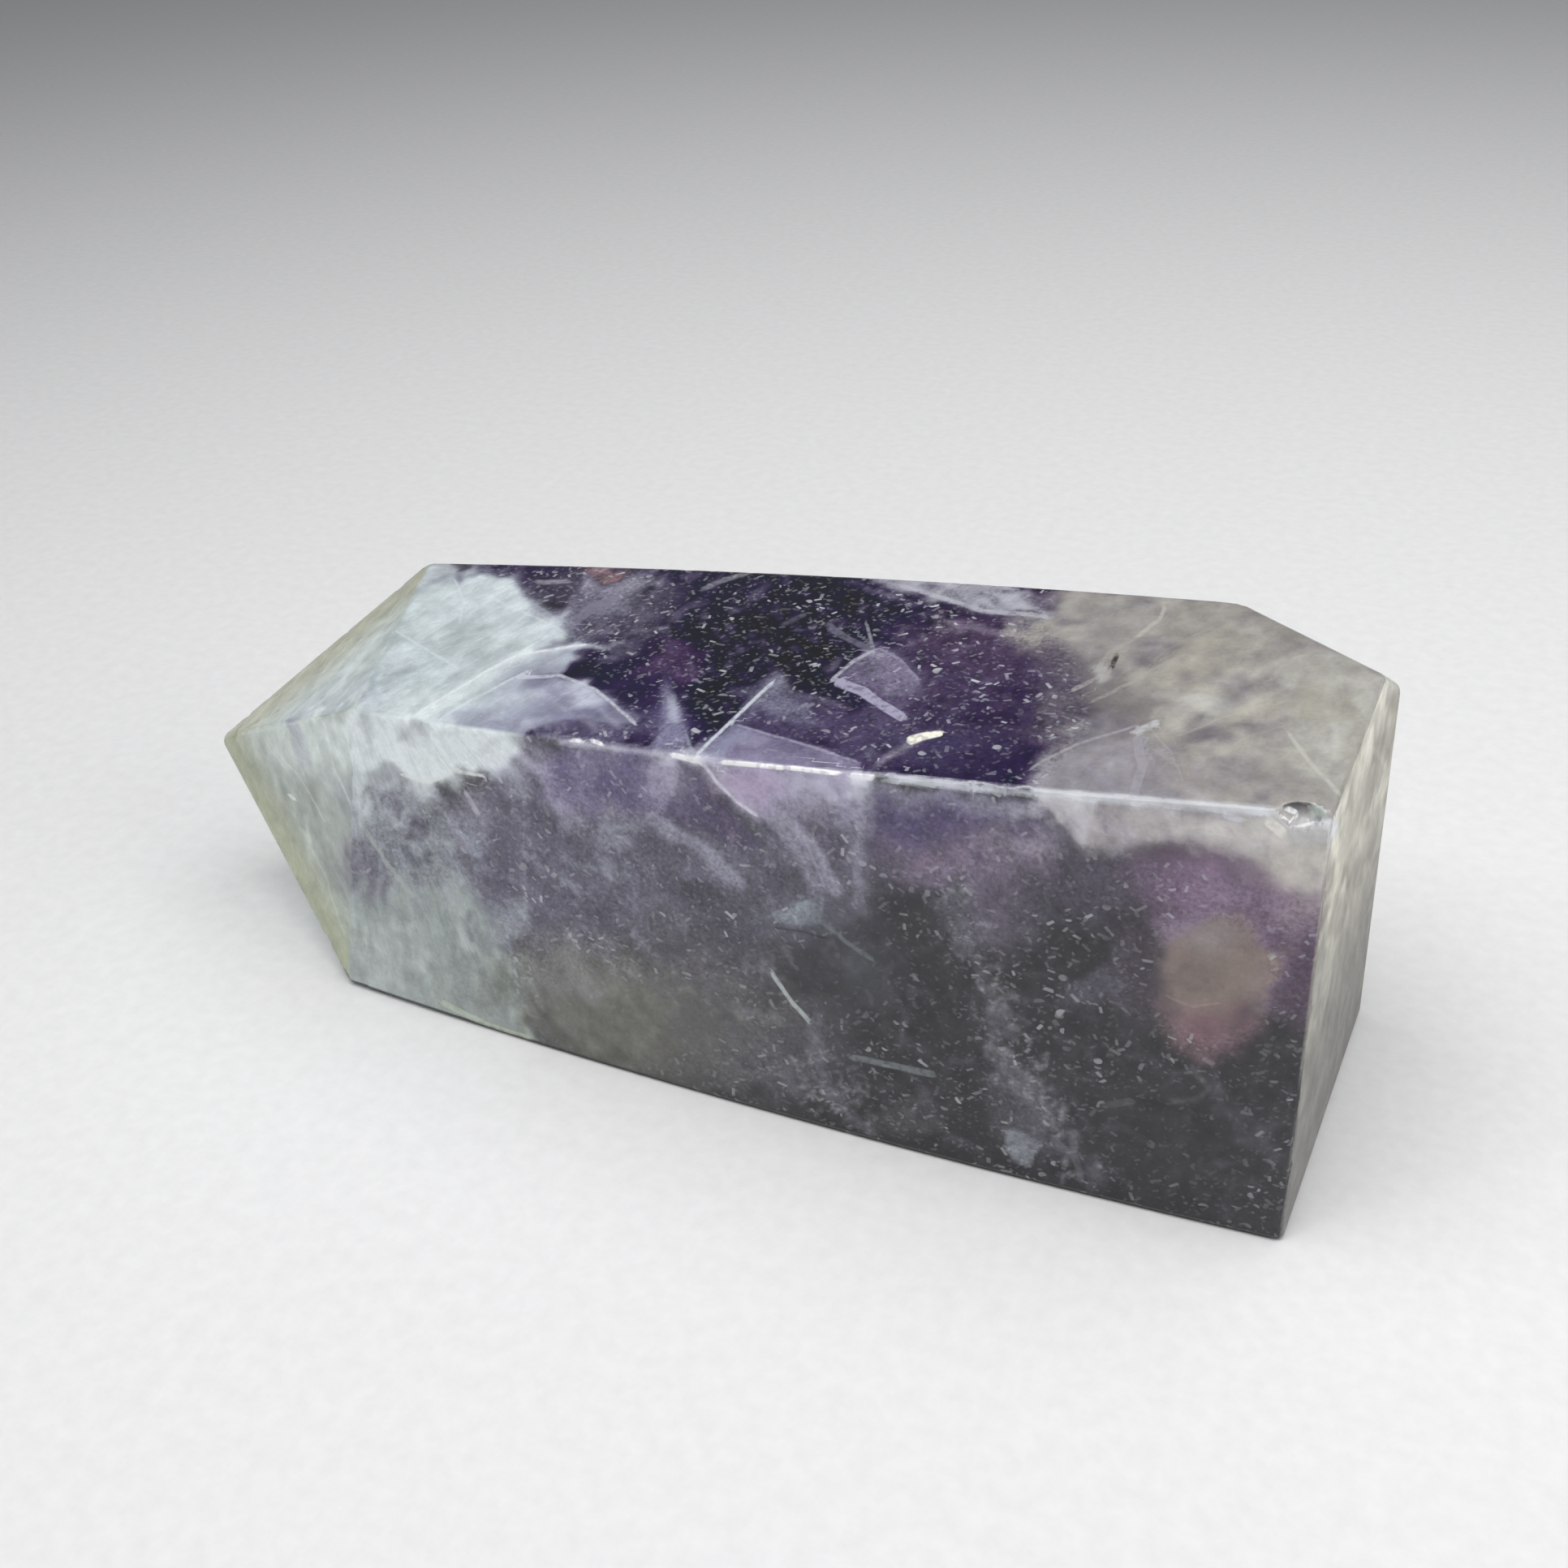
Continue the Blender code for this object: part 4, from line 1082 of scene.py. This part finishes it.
# How much mica shows on each side, from 0 to 1, and the marks where there is more or less
MICA_GROUND = {"top": 0.8, "front": 0.65, "tip_top": 0.03, "tip_front": 0.05, "base": 0.05, "hidden": 0.50}
MICA_MARKS = {
    "front": {
        "little in the olive ground": Spot((760, 1260), (150, 70), 0.12),
        "little in the plain dark": Spot((1040, 1190), (80, 60), 0.12),
        "more in the grey ground": Spot((830, 1090), (170, 90), 0.75),
        "more left of the lump": Spot((1350, 1140), (80, 90), 0.75),
        "more along the chain": Streak([(1165, 1090), (1230, 1280), (1345, 1460)], 60, 0.8, 1, 20),
        "more low in the middle": Spot((1020, 1330), (110, 60), 0.6),
        "none in the lump": Spot((1492, 1205), (72, 72), 0.04, 1, 0.15),
        "little in the pale foot": Patch([(420, 1080), (600, 1100), (650, 1280), (420, 1240)], 0.12, 1, 14),
        "none in the white": Patch([(425, 870), (650, 900), (600, 950), (430, 965)], 0.02, 1, 10),
        "little in the strip": Patch([(1290, 980), (1650, 990), (1650, 1120), (1300, 1030)], 0.2, 1, 14),
        "little low on the right": Spot((1450, 1400), (120, 70), 0.25),
    },
    "top": {
        "most in the dark heart": Spot((960, 780), (230, 70), 0.9, 1, 0.4),
        "little in the sheets": Patch([(862, 932), (903, 892), (1058, 938), (1060, 958), (890, 942)], 0.2),
        "none in the cloud": Patch(CLOUD_AND_LENS, 0.02),
        "none in the quartz": Patch(
            [(1310, 690), (1800, 690), (1800, 1050), (1270, 980), (1340, 900), (1330, 820), (1290, 770)], 0.06
        ),
    },
}

# The colour under a side's marks
GROUND = {
    "top": (41, 31, 59),
    "front": (67, 67, 69),
    "tip_top": (181, 190, 189),
    "tip_front": (150, 155, 150),
    "base": (156, 154, 147),
}


def on_sides(normals):
    """How much each place belongs to each side of the stone."""
    nx, ny, nz = normals.T
    base = ramp(nx, 0.75, 0.9)
    tip = ramp(-nx, 0.25, 0.35)
    body = (1 - base) * (1 - tip)
    share = {
        "base": base,
        "top": body * ramp(nz - np.abs(ny), -0.25, 0.25),
        "front": body * ramp(-ny - np.abs(nz), -0.25, 0.25),
        "tip_top": tip * ramp(nz - np.abs(ny) * 0.55, -0.1, 0.15),
        "tip_front": tip * ramp(-ny - np.abs(nz), -0.2, 0.1),
    }
    share["hidden"] = np.clip(1 - sum(share.values()), 0, 1)
    return share


def blend(colours, share, colour):
    return colours + np.clip(share, 0, 1)[:, None] * (np.array(colour, float) - colours)


def zones(places):
    """Markings that run right through the stone, for the sides that the reference doesn't show."""
    slanted = places @ np.array(Matrix.Rotation(ZONE_SLANT, 3, Vector(ZONE_AXIS)))
    slanted += ZONE_SWIRL * np.stack([ripple(slanted, 6.0, seed, 2) for seed in (151, 157, 163)], 1)
    broad = (cloud(slanted, 14.0, 71, 3) - 0.5) * 34
    fine = (cloud(slanted, 5.0, 83, 2) - 0.5) * 12
    length = places[:, 0] + broad + fine
    colours = np.tile(np.array(ZONE_GROUND), (len(places), 1))
    for lump, seed, start, full, strength, colour in ZONE_TINTS:
        colours = blend(colours, ramp(cloud(slanted, lump, seed, 2), start, full) * strength, colour)
    colours = blend(colours, ramp(length, -12, -28), ZONE_TIP)
    colours = blend(colours, ramp(length, 16, 32) * ramp(places[:, 2], 2, 20), ZONE_BASE)
    white = ramp(cloud(slanted, 4.0, 139, 2), 0.5, 0.7) * ramp(length, -8, -20)
    return blend(colours, white * 0.6, ZONE_WHITE)


def rim(points, start, end, near, far):
    """One at the line from start to end, fading to nothing on its right-hand side."""
    line = np.array(end, float) - np.array(start, float)
    line /= np.linalg.norm(line)
    offset = points - np.array(start, float)
    distance = offset[:, 1] * line[0] - offset[:, 0] * line[1]
    return ramp(distance, far, near)


def ridge_frost_and_highlight(points, normals):
    """Frosting and a painted highlight on the eased ridge between the top and the front, thicker towards the
    base.
    """
    on_ridge = ramp(normals[:, 2] * -normals[:, 1], 0.1, 0.3)
    across = points[:, 0]
    frost_and_highlight = ramp(across, 1060, 1120) * 0.75 + ramp(across, 640, 700) * ramp(across, 900, 860) * 0.35
    return on_ridge * frost_and_highlight * ramp(across, 1590, 1555)


def lay_on(colours, marks, points, wander, patchy):
    """The colours with a side's marks laid over them, in order. Crisp lines are left to the shader."""
    for mark in marks.values():
        if isinstance(mark, Streak) and mark.crisp:
            continue
        parts = mark.streaks() if isinstance(mark, Wisps) else [mark]
        moved = points + wander * parts[0].ragged
        for part in parts:
            colours = blend(colours, part.share(moved) * part.strength * patchy, part.colour)
    return colours


def paint(places, points, normals, share, wander):
    """The colour that each place shows, as 8-bit values."""
    patchy = np.minimum(0.9 + 0.2 * ripple(places, 1.6, 23, 3), 1)
    colours = zones(places)
    for side, ground in GROUND.items():
        here = share[side] > 0
        found = np.tile(np.array(ground, float), (here.sum(), 1))
        found = lay_on(found, MARKS[side], points[here], wander[here], patchy[here])
        colours[here] += share[side][here, None] * (found - colours[here])
    # Painted shade along the tip's upper and lower rims, darker towards the outline
    upper_rim_shade = rim(points, TIP_END, UPPER_CORNER, 2, 32)
    lower_rim_shade = 1 - rim(points, TIP_END, LOWER_CORNER, -40, -5)
    colours = blend(colours, upper_rim_shade * share["tip_top"] * 0.85, UPPER_RIM_SHADE_COLOUR)
    colours = blend(colours, lower_rim_shade * share["tip_front"] * 0.8, LOWER_RIM_SHADE_COLOUR)
    colours = blend(colours, ramp(places[:, 2], 27, 4) * share["base"] * 0.85, BASE_FOOT_COLOUR)
    # Frosting with a painted highlight along the eased ridge
    frost_and_highlight = ridge_frost_and_highlight(points, normals) * (0.8 + 0.25 * ripple(places, 2.4, 61, 3))
    colours = blend(colours, frost_and_highlight, FROST_AND_HIGHLIGHT_COLOUR)
    shown = 1 - share["hidden"]
    # Painted highlights and glints on the ridge, with the ridge's own marks, over every shown side
    colours += shown[:, None] * (lay_on(colours, RIDGE_MARKS_AND_HIGHLIGHTS, points, wander, patchy) - colours)
    # Painted contact shadow: the lower eased edge near the floor turns near black
    leans_under = ramp(-normals[:, 2], 0.03, 0.2) * ramp(-normals[:, 2], 0.99, 0.93)
    painted_contact_shadow = leans_under * ramp(places[:, 2], 1.6, 0.8)
    colours = blend(colours, painted_contact_shadow * 0.9, CONTACT_SHADOW_COLOUR)
    return np.clip(colours * (1 + 0.05 * ripple(places, 1.4, 91, 3))[:, None], 0, 255)


def weigh(points, share, grounds, marks):
    """A number for each place, such as how much mica it holds, from each side's own number and marks."""
    total = np.zeros(len(points))
    for side, ground in grounds.items():
        found = np.full((len(points), 1), float(ground))
        for mark in marks.get(side, {}).values():
            found = blend(found, mark.share(points) * mark.strength, (mark.colour,))
        total += share[side] * found[:, 0]
    return total


def crisp_lines(points, share, wander):
    """The nearest thin line to each place: its distance, how clearly it shows, half its width; its colour."""
    lines = np.tile([VEIN_REACH, 0.0, 1.0], (len(points), 1))
    colours = np.zeros((len(points), 3))
    shown = {**share, "ridge": 1 - share["hidden"]}
    for side, marks in {**MARKS, "ridge": RIDGE_MARKS_AND_HIGHLIGHTS}.items():
        for mark in marks.values():
            if not isinstance(mark, Streak) or not mark.crisp:
                continue
            moved = points + wander * mark.ragged * 0.4
            low, high = mark.points.min(0) - VEIN_REACH, mark.points.max(0) + VEIN_REACH
            rows = np.flatnonzero((shown[side] > 0.5) & np.all((moved > low) & (moved < high), axis=1))
            off, past, half = mark.beside(moved[rows])
            closer = np.abs(off) < np.abs(lines[rows, 0])
            rows, off, past, half = rows[closer], off[closer], past[closer], half[closer]
            clear = mark.strength**2.2 * ramp(np.abs(off), 17, 10) * ramp(past, 7, 1)
            lines[rows] = np.stack([off, clear, half], 1)
            colours[rows] = mark.colour
    return lines, colours


def fibre_places(points, share, milk):
    """Where each place lies in the grain of fibres, along them and across them, and how milky it is."""
    flow = np.zeros((len(points), 3))
    flow[:, 0], flow[:, 1] = points[:, 0] / FIBRE_STRETCH / PIXELS_PER_MM, points[:, 1] / PIXELS_PER_MM
    for number, (side, way) in enumerate(FIBRES.items()):
        here = share[side] > 0.5
        if isinstance(way, tuple):
            offset = points[here] - np.array(way, float)
            run = np.linalg.norm(offset, axis=1)
            across = np.arctan2(offset[:, 1], offset[:, 0]) * FAN_RADIUS
        else:
            turn = math.radians(way)
            run = points[here] @ np.array([math.cos(turn), math.sin(turn)])
            across = points[here] @ np.array([-math.sin(turn), math.cos(turn)])
        flow[here, 0] = run / FIBRE_STRETCH / PIXELS_PER_MM + number * 50
        flow[here, 1] = across / PIXELS_PER_MM
    flow[:, 2] = milk
    return flow


def as_surface_colour(seen, share):
    """The surface colour that shows as the given one, with the light that each side gets."""
    linear = np.where(seen <= 10.3, seen / 255 / 12.92, ((seen / 255 + 0.055) / 1.055) ** 2.4)
    white = sum(share[side] * light for side, (light, _) in SIDE_LIGHT.items())
    gloss = sum(share[side] * gleam for side, (_, gleam) in SIDE_LIGHT.items())
    total = sum(share.values())
    surface = np.maximum((linear - (gloss / total)[:, None]) / (white / total)[:, None], DARKEST)
    return surface * np.minimum(LIGHTEST / surface.max(1), 1)[:, None]


def lay_marks(mesh):
    places, normals = read_places(mesh), read_normals(mesh)
    points, share = in_frame(places), on_sides(normals)
    wander = np.stack([ripple(places, 2.2, 11, 3), ripple(places, 2.2, 57, 3)], 1)
    seen = paint(places, points, normals, share, wander)
    lines, line_colours = crisp_lines(points, share, wander)
    mica = weigh(points, share, MICA_GROUND, MICA_MARKS) * ramp(seen.mean(1), 185, 130)
    milk = weigh(points, share, MILK_GROUND, MILK_MARKS)
    worn = ramp(np.abs(normals).max(1), 0.95, 0.85)
    for name, colours in (("paint", seen), ("line_paint", line_colours)):
        surface = as_surface_colour(colours, share)
        rgba = np.concatenate([surface, np.ones((len(surface), 1))], 1).astype(np.float32)
        mesh.attributes.new(name, "FLOAT_COLOR", "POINT").data.foreach_set("color", rgba.ravel())
    grain = np.stack([mica, worn, share["base"]], 1)
    flow = fibre_places(points, share, milk)
    for name, numbers in (("grain", grain), ("line", lines), ("flow", flow)):
        attribute = mesh.attributes.new(name, "FLOAT_VECTOR", "POINT")
        attribute.data.foreach_set("vector", numbers.astype(np.float32).ravel())


# Material
class Nodes:
    """Short ways to add nodes to a material."""

    def __init__(self, material):
        self.tree = material.node_tree

    def add(self, kind, inputs=None, **settings):
        node = self.tree.nodes.new(kind)
        for name, value in settings.items():
            setattr(node, name, value)
        for key, value in (inputs or {}).items():
            self.put(node.inputs[key], value)
        return node

    def put(self, socket, value):
        if isinstance(value, bpy.types.NodeSocket):
            self.tree.links.new(value, socket)
        else:
            socket.default_value = value

    def math(self, operation, *values):
        return self.add("ShaderNodeMath", dict(enumerate(values)), operation=operation).outputs[0]

    def vector(self, operation, *values):
        node = self.add("ShaderNodeVectorMath", dict(enumerate(values)), operation=operation)
        return node.outputs["Value" if operation in ("DOT_PRODUCT", "LENGTH") else "Vector"]

    def scaled(self, vector, factor):
        node = self.add("ShaderNodeVectorMath", {0: vector, "Scale": factor}, operation="SCALE")
        return node.outputs["Vector"]

    def span(self, value, low, high, start=0.0, end=1.0, kind="SMOOTHSTEP"):
        inputs = {"Value": value, "From Min": low, "From Max": high, "To Min": start, "To Max": end}
        return self.add("ShaderNodeMapRange", inputs, interpolation_type=kind).outputs["Result"]

    def straight(self, value, low, high, start, end):
        return self.span(value, low, high, start, end, "LINEAR")

    def noise(self, vector, scale, detail=3.0, roughness=0.5, distortion=0.0):
        inputs = {"Vector": vector, "Scale": scale, "Detail": detail, "Roughness": roughness}
        inputs["Distortion"] = distortion
        return self.add("ShaderNodeTexNoise", inputs)

    def mix(self, share, a, b):
        node = self.add("ShaderNodeMix", data_type="RGBA")
        for socket, value in ((node.inputs[0], share), (node.inputs[6], a), (node.inputs[7], b)):
            self.put(socket, value)
        return node.outputs[2]


def flecks(nodes, places, cell, share, reach, thin, shift):
    """Cut mica plates: one thin plate in some of the cells, at a slant of its own. From 0 to 1."""
    moved = nodes.vector("ADD", places, (shift, shift * 1.7, shift * 0.6))
    cells = nodes.add("ShaderNodeTexVoronoi", {"Vector": moved, "Scale": 1 / cell}, feature="F1")
    offset = nodes.vector("SUBTRACT", moved, cells.outputs["Position"])
    slant = nodes.vector("SUBTRACT", cells.outputs["Color"], (0.5, 0.5, 0.5))
    slant = nodes.vector("NORMALIZE", slant)
    off_plate = nodes.math("ABSOLUTE", nodes.vector("DOT_PRODUCT", offset, slant))
    draw = nodes.vector("DOT_PRODUCT", cells.outputs["Color"], FLECK_DRAW)
    draw = nodes.math("FRACT", draw)
    chosen = nodes.math("LESS_THAN", draw, share)
    in_plate = nodes.span(off_plate, thin, thin * 0.5)
    in_reach = nodes.span(nodes.vector("LENGTH", offset), reach, reach * 0.75)
    bright = nodes.math("FRACT", nodes.math("MULTIPLY", draw, FLECK_SECOND_DRAW))
    bright = nodes.math("MULTIPLY", bright, bright)
    shown = nodes.math("MULTIPLY", nodes.math("MULTIPLY", in_plate, in_reach), chosen)
    return nodes.math("MULTIPLY", shown, nodes.straight(bright, 0.0, 1.0, 0.25, 1.0))


def stone_material():
    material = bpy.data.materials.new("polished_unicorn_stone")
    material.use_nodes = True
    nodes = Nodes(material)
    shader = material.node_tree.nodes["Principled BSDF"]
    coords = nodes.add("ShaderNodeTexCoord").outputs["Object"]
    places = nodes.scaled(coords, 1 / MM)
    painted = nodes.add("ShaderNodeAttribute", attribute_name="paint").outputs["Color"]
    grain = nodes.add("ShaderNodeAttribute", attribute_name="grain").outputs["Vector"]
    grain = nodes.add("ShaderNodeSeparateXYZ", {0: grain})
    mica, worn, matt = grain.outputs

    # Fine mottling, lighter and darker, strongest where there is mica
    swing = 1.0
    for scale, detail, roughness, distortion, plain_depth, mica_depth in MOTTLING:
        lumps = nodes.noise(places, scale, detail, roughness, distortion).outputs["Fac"]
        lumps = nodes.straight(lumps, 0.3, 0.7, -1.0, 1.0)
        depth = nodes.straight(mica, 0.0, 1.0, plain_depth, mica_depth)
        swing = nodes.math("ADD", swing, nodes.math("MULTIPLY", lumps, depth))

    # Fibres in the milky parts, and saw marks across the base
    flow = nodes.add("ShaderNodeAttribute", attribute_name="flow").outputs["Vector"]
    run, across, milk = nodes.add("ShaderNodeSeparateXYZ", {0: flow}).outputs
    strand_place = nodes.add("ShaderNodeCombineXYZ", {0: run, 1: across}).outputs[0]
    strands = nodes.noise(strand_place, 1.5, 4.0, 0.62, 0.5).outputs["Fac"]
    soft_strands = nodes.straight(strands, 0.3, 0.7, -0.20, 0.20)
    from_middle = nodes.math("ABSOLUTE", nodes.math("SUBTRACT", strands, 0.5))
    fibres = nodes.math("ADD", soft_strands, nodes.span(from_middle, 0.03, 0.0, 0.0, 0.22))
    swing = nodes.math("ADD", swing, nodes.math("MULTIPLY", fibres, milk))
    colour = nodes.scaled(painted, swing)

    # Mica flecks
    drawn_out = nodes.vector("MULTIPLY", places, (0.85, 1.0, 1.0))
    all_flecks = 0.0
    for *shape, bright in FLECKS:
        one_size = nodes.math("MULTIPLY", flecks(nodes, drawn_out, *shape), bright)
        all_flecks = nodes.math("MAXIMUM", all_flecks, one_size)
    patchy = nodes.span(nodes.noise(places, 0.35, 2.0).outputs["Fac"], 0.40, 0.60, 0.4, 1.0)
    all_flecks = nodes.math("MULTIPLY", all_flecks, nodes.math("MULTIPLY", patchy, mica))
    colour = nodes.mix(all_flecks, colour, FLECK_COLOUR)

    # Thin lines, drawn finer than the mesh can hold
    line = nodes.add("ShaderNodeAttribute", attribute_name="line").outputs["Vector"]
    line_paint = nodes.add("ShaderNodeAttribute", attribute_name="line_paint").outputs["Color"]
    off, clear, half = nodes.add("ShaderNodeSeparateXYZ", {0: line}).outputs
    beside = nodes.math("SUBTRACT", nodes.math("ABSOLUTE", off), half)
    broken = nodes.span(nodes.noise(places, 2.0, 2.0).outputs["Fac"], 0.35, 0.55, 0.55, 1.0)
    on_line = nodes.math("MULTIPLY", nodes.span(beside, 1.1, -1.1), nodes.math("MULTIPLY", clear, broken))
    colour = nodes.mix(on_line, colour, line_paint)
    nodes.put(shader.inputs["Base Color"], colour)

    # Polished sides, dulled edges and a matt sawn base
    wear = nodes.noise(places, 0.8, 4.0).outputs["Fac"]
    polish = nodes.straight(wear, 0.3, 0.7, 0.09, 0.14)
    dull = nodes.math("MAXIMUM", nodes.math("MULTIPLY", matt, 0.5), nodes.math("MULTIPLY", worn, 0.08))
    rough = nodes.math("ADD", polish, dull)
    sawn = nodes.math("MULTIPLY", matt, 0.6)
    bump = nodes.add("ShaderNodeBump", {"Strength": sawn, "Distance": 0.00015, "Height": strands})
    nodes.put(shader.inputs["Normal"], bump.outputs[0])
    nodes.put(shader.inputs["Roughness"], rough)
    shader.inputs["IOR"].default_value = STONE_IOR
    return material


# Stage
def add_floor():
    bpy.ops.mesh.primitive_plane_add(size=FLOOR_WIDTH, location=(0.0, 0.0, -FLOOR_GAP * MM))
    floor = bpy.context.object
    floor.name = "floor"
    material = bpy.data.materials.new("pale_floor")
    material.use_nodes = True
    nodes = Nodes(material)
    shader = material.node_tree.nodes["Principled BSDF"]
    coords = nodes.add("ShaderNodeTexCoord").outputs["Object"]
    fibre = nodes.noise(coords, FLOOR_GRAIN, 3.0, 0.6).outputs["Fac"]
    tone = nodes.straight(fibre, 0.3, 0.7, *FLOOR_TONES)
    colour = nodes.add("ShaderNodeCombineColor", {0: tone, 1: tone, 2: tone}).outputs[0]
    nodes.put(shader.inputs["Base Color"], colour)
    bump = nodes.add("ShaderNodeBump", {"Strength": 0.3, "Distance": 0.0002, "Height": fibre})
    nodes.put(shader.inputs["Normal"], bump.outputs[0])
    shader.inputs["Roughness"].default_value = 0.8
    shader.inputs["Specular IOR Level"].default_value = 0.2
    floor.data.materials.append(material)


def add_light(name, place, aim, width, power):
    data = bpy.data.lights.new(name, "AREA")
    data.shape = "DISK"
    data.size = width
    data.energy = power
    light = bpy.data.objects.new(name, data)
    light.location = place
    light.rotation_euler = (Vector(aim) - Vector(place)).to_track_quat("-Z", "Y").to_euler()
    bpy.context.scene.collection.objects.link(light)


def add_world():
    world = bpy.data.worlds.new("studio")
    world.use_nodes = True
    background = world.node_tree.nodes["Background"]
    background.inputs["Color"].default_value = ROOM_COLOUR
    background.inputs["Strength"].default_value = ROOM_STRENGTH
    bpy.context.scene.world = world


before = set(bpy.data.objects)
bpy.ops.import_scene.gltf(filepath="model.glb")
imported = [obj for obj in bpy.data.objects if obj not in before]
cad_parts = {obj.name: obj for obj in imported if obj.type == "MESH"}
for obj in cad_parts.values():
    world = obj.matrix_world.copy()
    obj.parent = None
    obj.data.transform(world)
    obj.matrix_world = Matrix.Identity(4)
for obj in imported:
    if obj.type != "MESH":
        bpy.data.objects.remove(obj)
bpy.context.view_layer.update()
bpy.context.scene.view_settings.view_transform = "Standard"
add_camera()
add_world()
add_floor()
for light, numbers in LIGHTS.items():
    add_light(light, *numbers)

stone = fine_copy(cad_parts["stone_point"])
hand_ground(stone.data)
lay_marks(stone.data)
stone.data.materials.append(stone_material())
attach(stone, "root")
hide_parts("stone_point")
print("stone mesh has", sum(len(face.vertices) - 2 for face in stone.data.polygons), "triangles")
